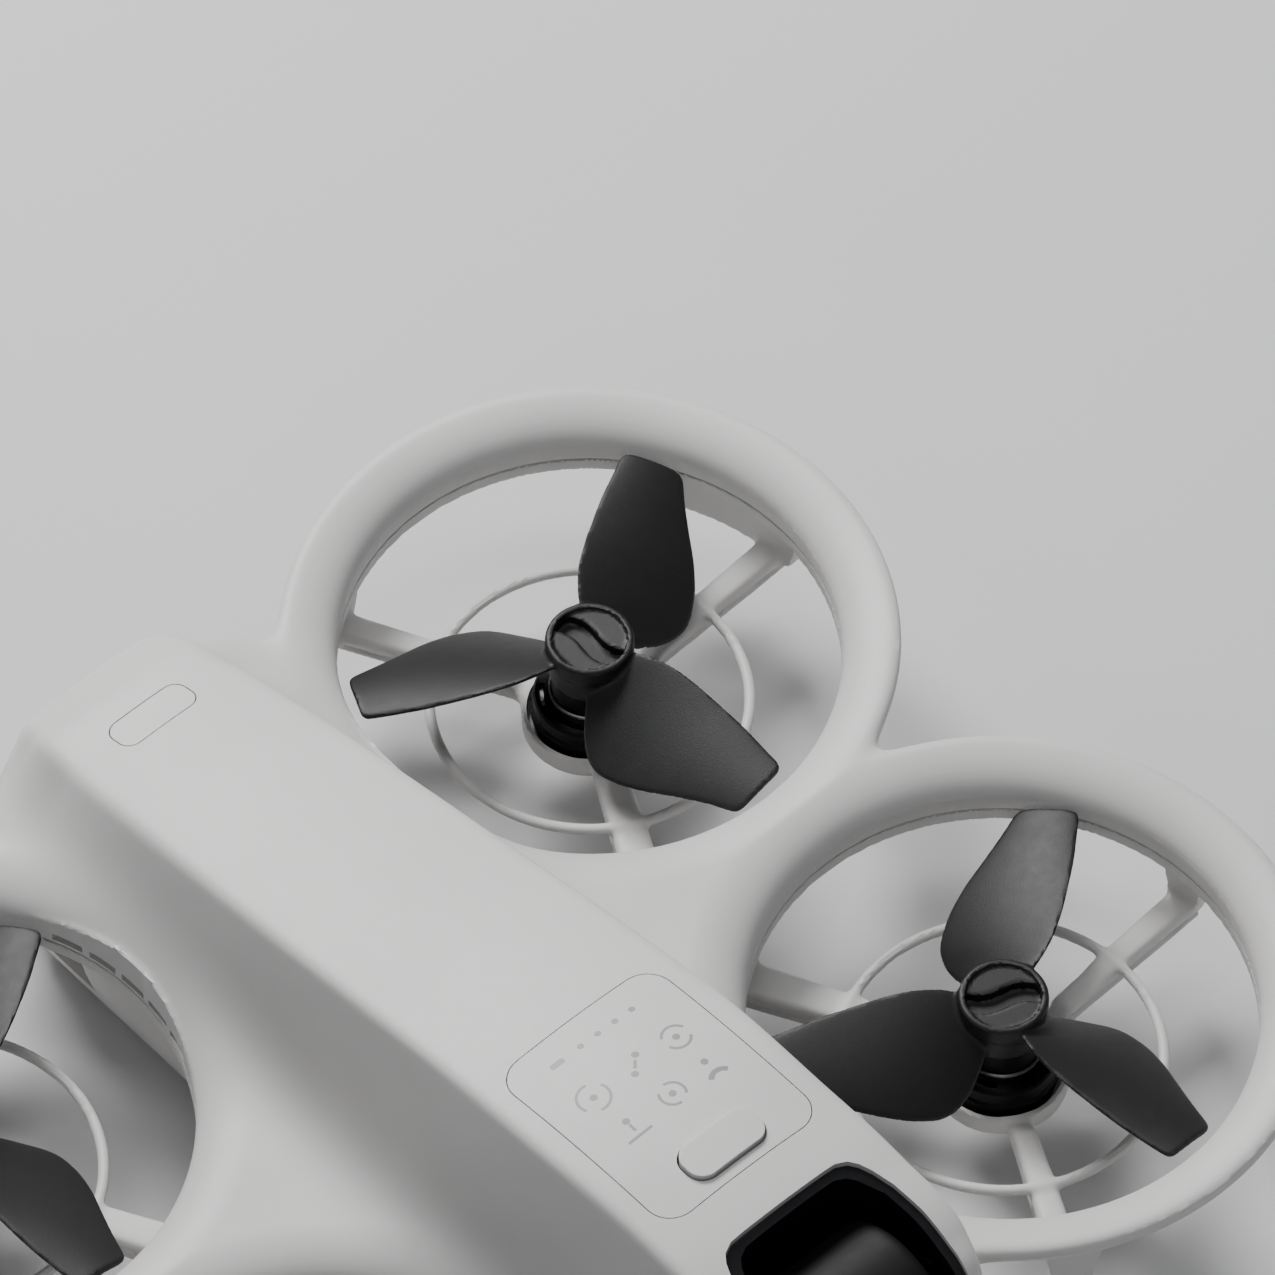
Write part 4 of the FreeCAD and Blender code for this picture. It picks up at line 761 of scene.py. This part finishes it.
for name, (cx, cy) in RINGS.items():
    row, rotor = name.split("_")[0], "rotor_" + name
    mount = placed(mount_of[row], cx, cy, 0.0, None if cx > 0 else "X")
    piece("mount_" + name, mount, "frame_plastic", "airframe", ("duct_mounts",), 40.0)
    blades = placed(propeller, cx, cy, BLADE_PHASE[name], "Y" if SPIN_SENSE[name] < 0 else None)
    piece("blades_" + name, blades, "propeller_plastic", rotor, ("propeller_" + name,), 40.0)
    bell = turned_mesh(BELL[::-1], 120, "bell", (cx, cy, 0), "Z", True)
    openings = []
    for index in range(6):
        start = 60.0 * index + 8.0
        openings.append(prism_mesh(arc_band(cx, cy, 5.0, start, start + 34.0, 0.32), 12.5, 14.5))
    piece("bell_" + name, cut(bell, *openings), "motor_metal", rotor, ("motor_bell_" + name,))
    collar = turned_mesh(COLLAR[::-1], 96, "collar", (cx, cy, 0), "Z", True)
    piece("collar_" + name, collar, "screw_steel", rotor)


# ---------------------------------------------------------------- lower hull and battery
def box_mesh(x0, x1, y0, y1, z0, z1):
    return prism_mesh([(x0, y0), (x1, y0), (x1, y1), (x0, y1)], z0, z1, "box")


def prism_along_x(outline, x0, x1):
    """Prism over a (y, z) outline."""
    mesh = prism_mesh(outline, x0, x1)
    mesh.transform(Matrix(((0, 0, 1, 0), (1, 0, 0, 0), (0, 1, 0, 0), (0, 0, 0, 1))))
    return mesh


def rooms_field(x, y, z):
    """Hollows of the lower hull: the board room and the shallower nose."""
    inside = keel_field(x, y, z) + 1.9
    front = np.maximum(np.maximum(-44.0 - y, y - 4.4), np.maximum(1.2 - z, z - 17.1))
    nose = np.maximum(np.maximum(-58.0 - y, y + 45.2), np.maximum(4.2 - z, z - 17.1))
    return smooth_max(inside, np.minimum(front, nose), 0.4)


tray = surface_of(frame_field, (-30, -66, -1.2), (30, 64, 19.8), grid_step(0.6), "tray")
rooms = surface_of(rooms_field, (-18, -60, 0), (18, 6, 19), 1.0, "rooms", 3)

# boxes as x, y and z ranges: BEHIND and ASIDE lie clear of the hull
BEHIND, ASIDE = 75, 30
HULL_OPENINGS = {
    "battery_bay": (-12.95, 12.95, 5.65, BEHIND, 1.15, 17.55),
    "tail": (-ASIDE, ASIDE, 57.6, BEHIND, -2, 20),
    "latch_left": (10, 20, 42.15, BEHIND, 5.65, 12.35),
    "latch_right": (-20, -10, 42.15, BEHIND, 5.65, 12.35),
    "board": (-9, 9, -30, 2, 15, 20),
    "plug": (-5, 5, 1, 9, 5.8, 11.2),
}
CASE_POCKETS = {
    "latch_left": (9.6, 20, 42.2, 51.8, 5.7, 12.3),
    "latch_right": (-20, -9.6, 42.2, 51.8, 5.7, 12.3),
    "plug": (-5.6, 5.6, 5.0, 9.4, 5.2, 11.8),
}
# belly sensors: sideways place, radius and steps of each hole
SENSOR_Y = -38
SENSORS = ((0, 3.1, 64), (-7.5, 1.6, 48), (7.5, 1.6, 48))
SHELL_SCREWS = [(sx * 22.6, LUG_Y + sy * 5.0) for sx in (-1, 1) for sy in (-1, 1)]

socket = prism_along_x(rounded_outline(-13.0, -4.0, 6.5, 9.7, 1.5, 8), 8.0, 20.0)
lower = cut(tray, rooms, *[box_mesh(*box) for box in HULL_OPENINGS.values()], socket,
            *[prism_mesh(circle_outline(x, SENSOR_Y, r, steps), -1, 3) for x, r, steps in SENSORS],
            *[prism_mesh(circle_outline(cx, cy, THROAT + 0.05, 256), 16.0, 30.0)
              for cx, cy in RINGS.values()],
            *[prism_mesh(circle_outline(x, y, 1.55, 32), 15.0, 17.4) for x, y in SHELL_SCREWS])
piece("lower_hull", lower, "frame_plastic", "airframe", ("lower_frame",))

tail = common(tray, box_mesh(-ASIDE, ASIDE, 57.9, BEHIND, -2, 18.3))
case = join(box_mesh(-12.6, 12.6, 6.0, 58.6, 1.5, 17.2), tail)
case = cut(case, *[box_mesh(*box) for box in CASE_POCKETS.values()])
piece("battery_shell", case, "battery_plastic", "battery", ("battery_case",))


# ---------------------------------------------------------------- the drone's camera
def prism_along_y(outline, y0, y1):
    """Prism over an (x, z) outline."""
    mesh = prism_mesh(outline, -y1, -y0)
    mesh.transform(Matrix(((1, 0, 0, 0), (0, 0, -1, 0), (0, 1, 0, 0), (0, 0, 0, 1))))
    return mesh


housing = surface_of(housing_field, (-8.6, -9.4, -9.4), (8.6, 9.4, 9.4), grid_step(0.35), "housing")
barrel_bore = prism_along_y(circle_outline(0, 0, 4.45, 96), -12, -2)
shaft_bore = prism_along_x(circle_outline(0, 0, 1.0, 32), -12, 12)
sensor_room = box_mesh(-4.1, 4.1, -2.9, -1.5, -4.1, 4.1)
housing = cut(housing, barrel_bore, shaft_bore, sensor_room)
housing.transform(Matrix.Translation(Vector(AXLE) * MM))
piece("camera_body", housing, "black_plastic", "camera", ("camera_housing",))
# (radius, distance along the view) loop of the barrel
BARREL = [(2.6, -3.0), (4.35, -3.0), (4.35, -7.4), (4.05, -7.55), (4.05, -7.8), (4.35, -7.95), (4.38, -8.8),
          (4.25, -8.97), (3.95, -8.97), (3.55, -8.7), (3.52, -7.8), (3.2, -7.8), (3.1, -7.1), (2.75, -7.1),
          (2.6, -6.8)]
barrel = turned_mesh(BARREL[::-1], 120, "barrel", AXLE, "Y", True)
piece("camera_barrel", barrel, "camera_black", "camera", ("lens_barrel",))
# radius, bulge and seat of the front lens
LENS_R, LENS_BULGE, LENS_SEAT = 3.5, 0.72, -7.86
DOME = []
for degrees in range(85, -1, -5):
    a = math.radians(degrees)
    DOME.append((LENS_R * math.cos(a), LENS_SEAT - LENS_BULGE * math.sin(a)))
glass = turned_mesh(DOME + [(3.4, -7.8)], 96, "glass", AXLE, "Y")
piece("camera_glass", glass, "lens_glass", "camera", ("lens_glass",))


# ---------------------------------------------------------------- floor, light and viewing camera
VIEW_TURN, VIEW_RISE, VIEW_ROLL = -42.478, 53.708, 0.492
VIEW_TARGET, VIEW_DISTANCE = (47.92, 28.64, 23.7), 1502.1
FOCAL_LENGTH, SENSOR_WIDTH = 407.57647, 36.0
SKY_COLOUR, SKY_STRENGTH = (0.9, 0.92, 1.0, 1), 0.17
# name, place and target in metres, width in metres, power in watts
LAMPS = (
    ("key", (0.17, 0.52, 0.56), (0, 0, 0.02), 0.4, 8.0),
    ("fill", (-0.9, -0.5, 1.0), (0, 0, 0.02), 1.4, 1.8),
    ("top", (0.1, 0.1, 1.6), (0, 0, 0), 1.2, 6.0),
)
LAMP_DEPTH = 0.25


def make_stage():
    """Plain pale floor under an even, dim sky."""
    mesh = bpy.data.meshes.new("floor")
    mesh.from_pydata([(-3, -3, 0), (3, -3, 0), (3, 3, 0), (-3, 3, 0)], [], [(0, 1, 2, 3)])
    floor = bpy.data.objects.new("floor", mesh)
    bpy.context.scene.collection.objects.link(floor)
    material, tree, shader = new_material("pale_floor")
    drift = noise_node(tree, 3.0)
    tone = ramp(tree, drift.outputs["Fac"], (0.62, 0.62, 0.62), (0.66, 0.66, 0.66))
    tree.links.new(tone.outputs["Color"], shader.inputs["Base Color"])
    shader.inputs["Roughness"].default_value = 0.8
    mesh.materials.append(material)
    world = bpy.data.worlds.new("studio")
    world.use_nodes = True
    world.node_tree.nodes["Background"].inputs["Color"].default_value = SKY_COLOUR
    world.node_tree.nodes["Background"].inputs["Strength"].default_value = SKY_STRENGTH
    bpy.context.scene.world = world


def area_light(name, place, target, width, power):
    """Soft rectangular lamp that looks at its target."""
    data = bpy.data.lights.new(name, "AREA")
    data.shape = "RECTANGLE"
    data.size = width
    data.size_y = LAMP_DEPTH
    data.energy = power
    light = bpy.data.objects.new(name, data)
    light.location = place
    light.rotation_euler = (Vector(target) - Vector(place)).to_track_quat("-Z", "Y").to_euler()
    bpy.context.scene.collection.objects.link(light)
    return light


def make_camera():
    """Long, nearly parallel view from the photograph's direction, with its slight roll."""
    az, el, roll = math.radians(VIEW_TURN), math.radians(VIEW_RISE), math.radians(VIEW_ROLL)
    back = Vector((math.sin(az) * math.cos(el), -math.cos(az) * math.cos(el), math.sin(el)))
    right = (-back).cross(Vector((0, 0, 1))).normalized()
    up = right.cross(-back)
    side = math.cos(roll) * right + math.sin(roll) * up
    head = -math.sin(roll) * right + math.cos(roll) * up
    place = Vector(VIEW_TARGET) * MM + back * VIEW_DISTANCE * MM
    data = bpy.data.cameras.new("camera")
    data.lens = FOCAL_LENGTH
    data.sensor_width = SENSOR_WIDTH
    data.clip_start = 0.05
    data.clip_end = 20.0
    camera = bpy.data.objects.new("camera", data)
    camera.matrix_world = Matrix((
        (side.x, head.x, back.x, place.x), (side.y, head.y, back.y, place.y),
        (side.z, head.z, back.z, place.z), (0, 0, 0, 1)))
    bpy.context.scene.collection.objects.link(camera)
    bpy.context.scene.camera = camera


make_stage()
make_camera()
for lamp in LAMPS:
    area_light(*lamp)
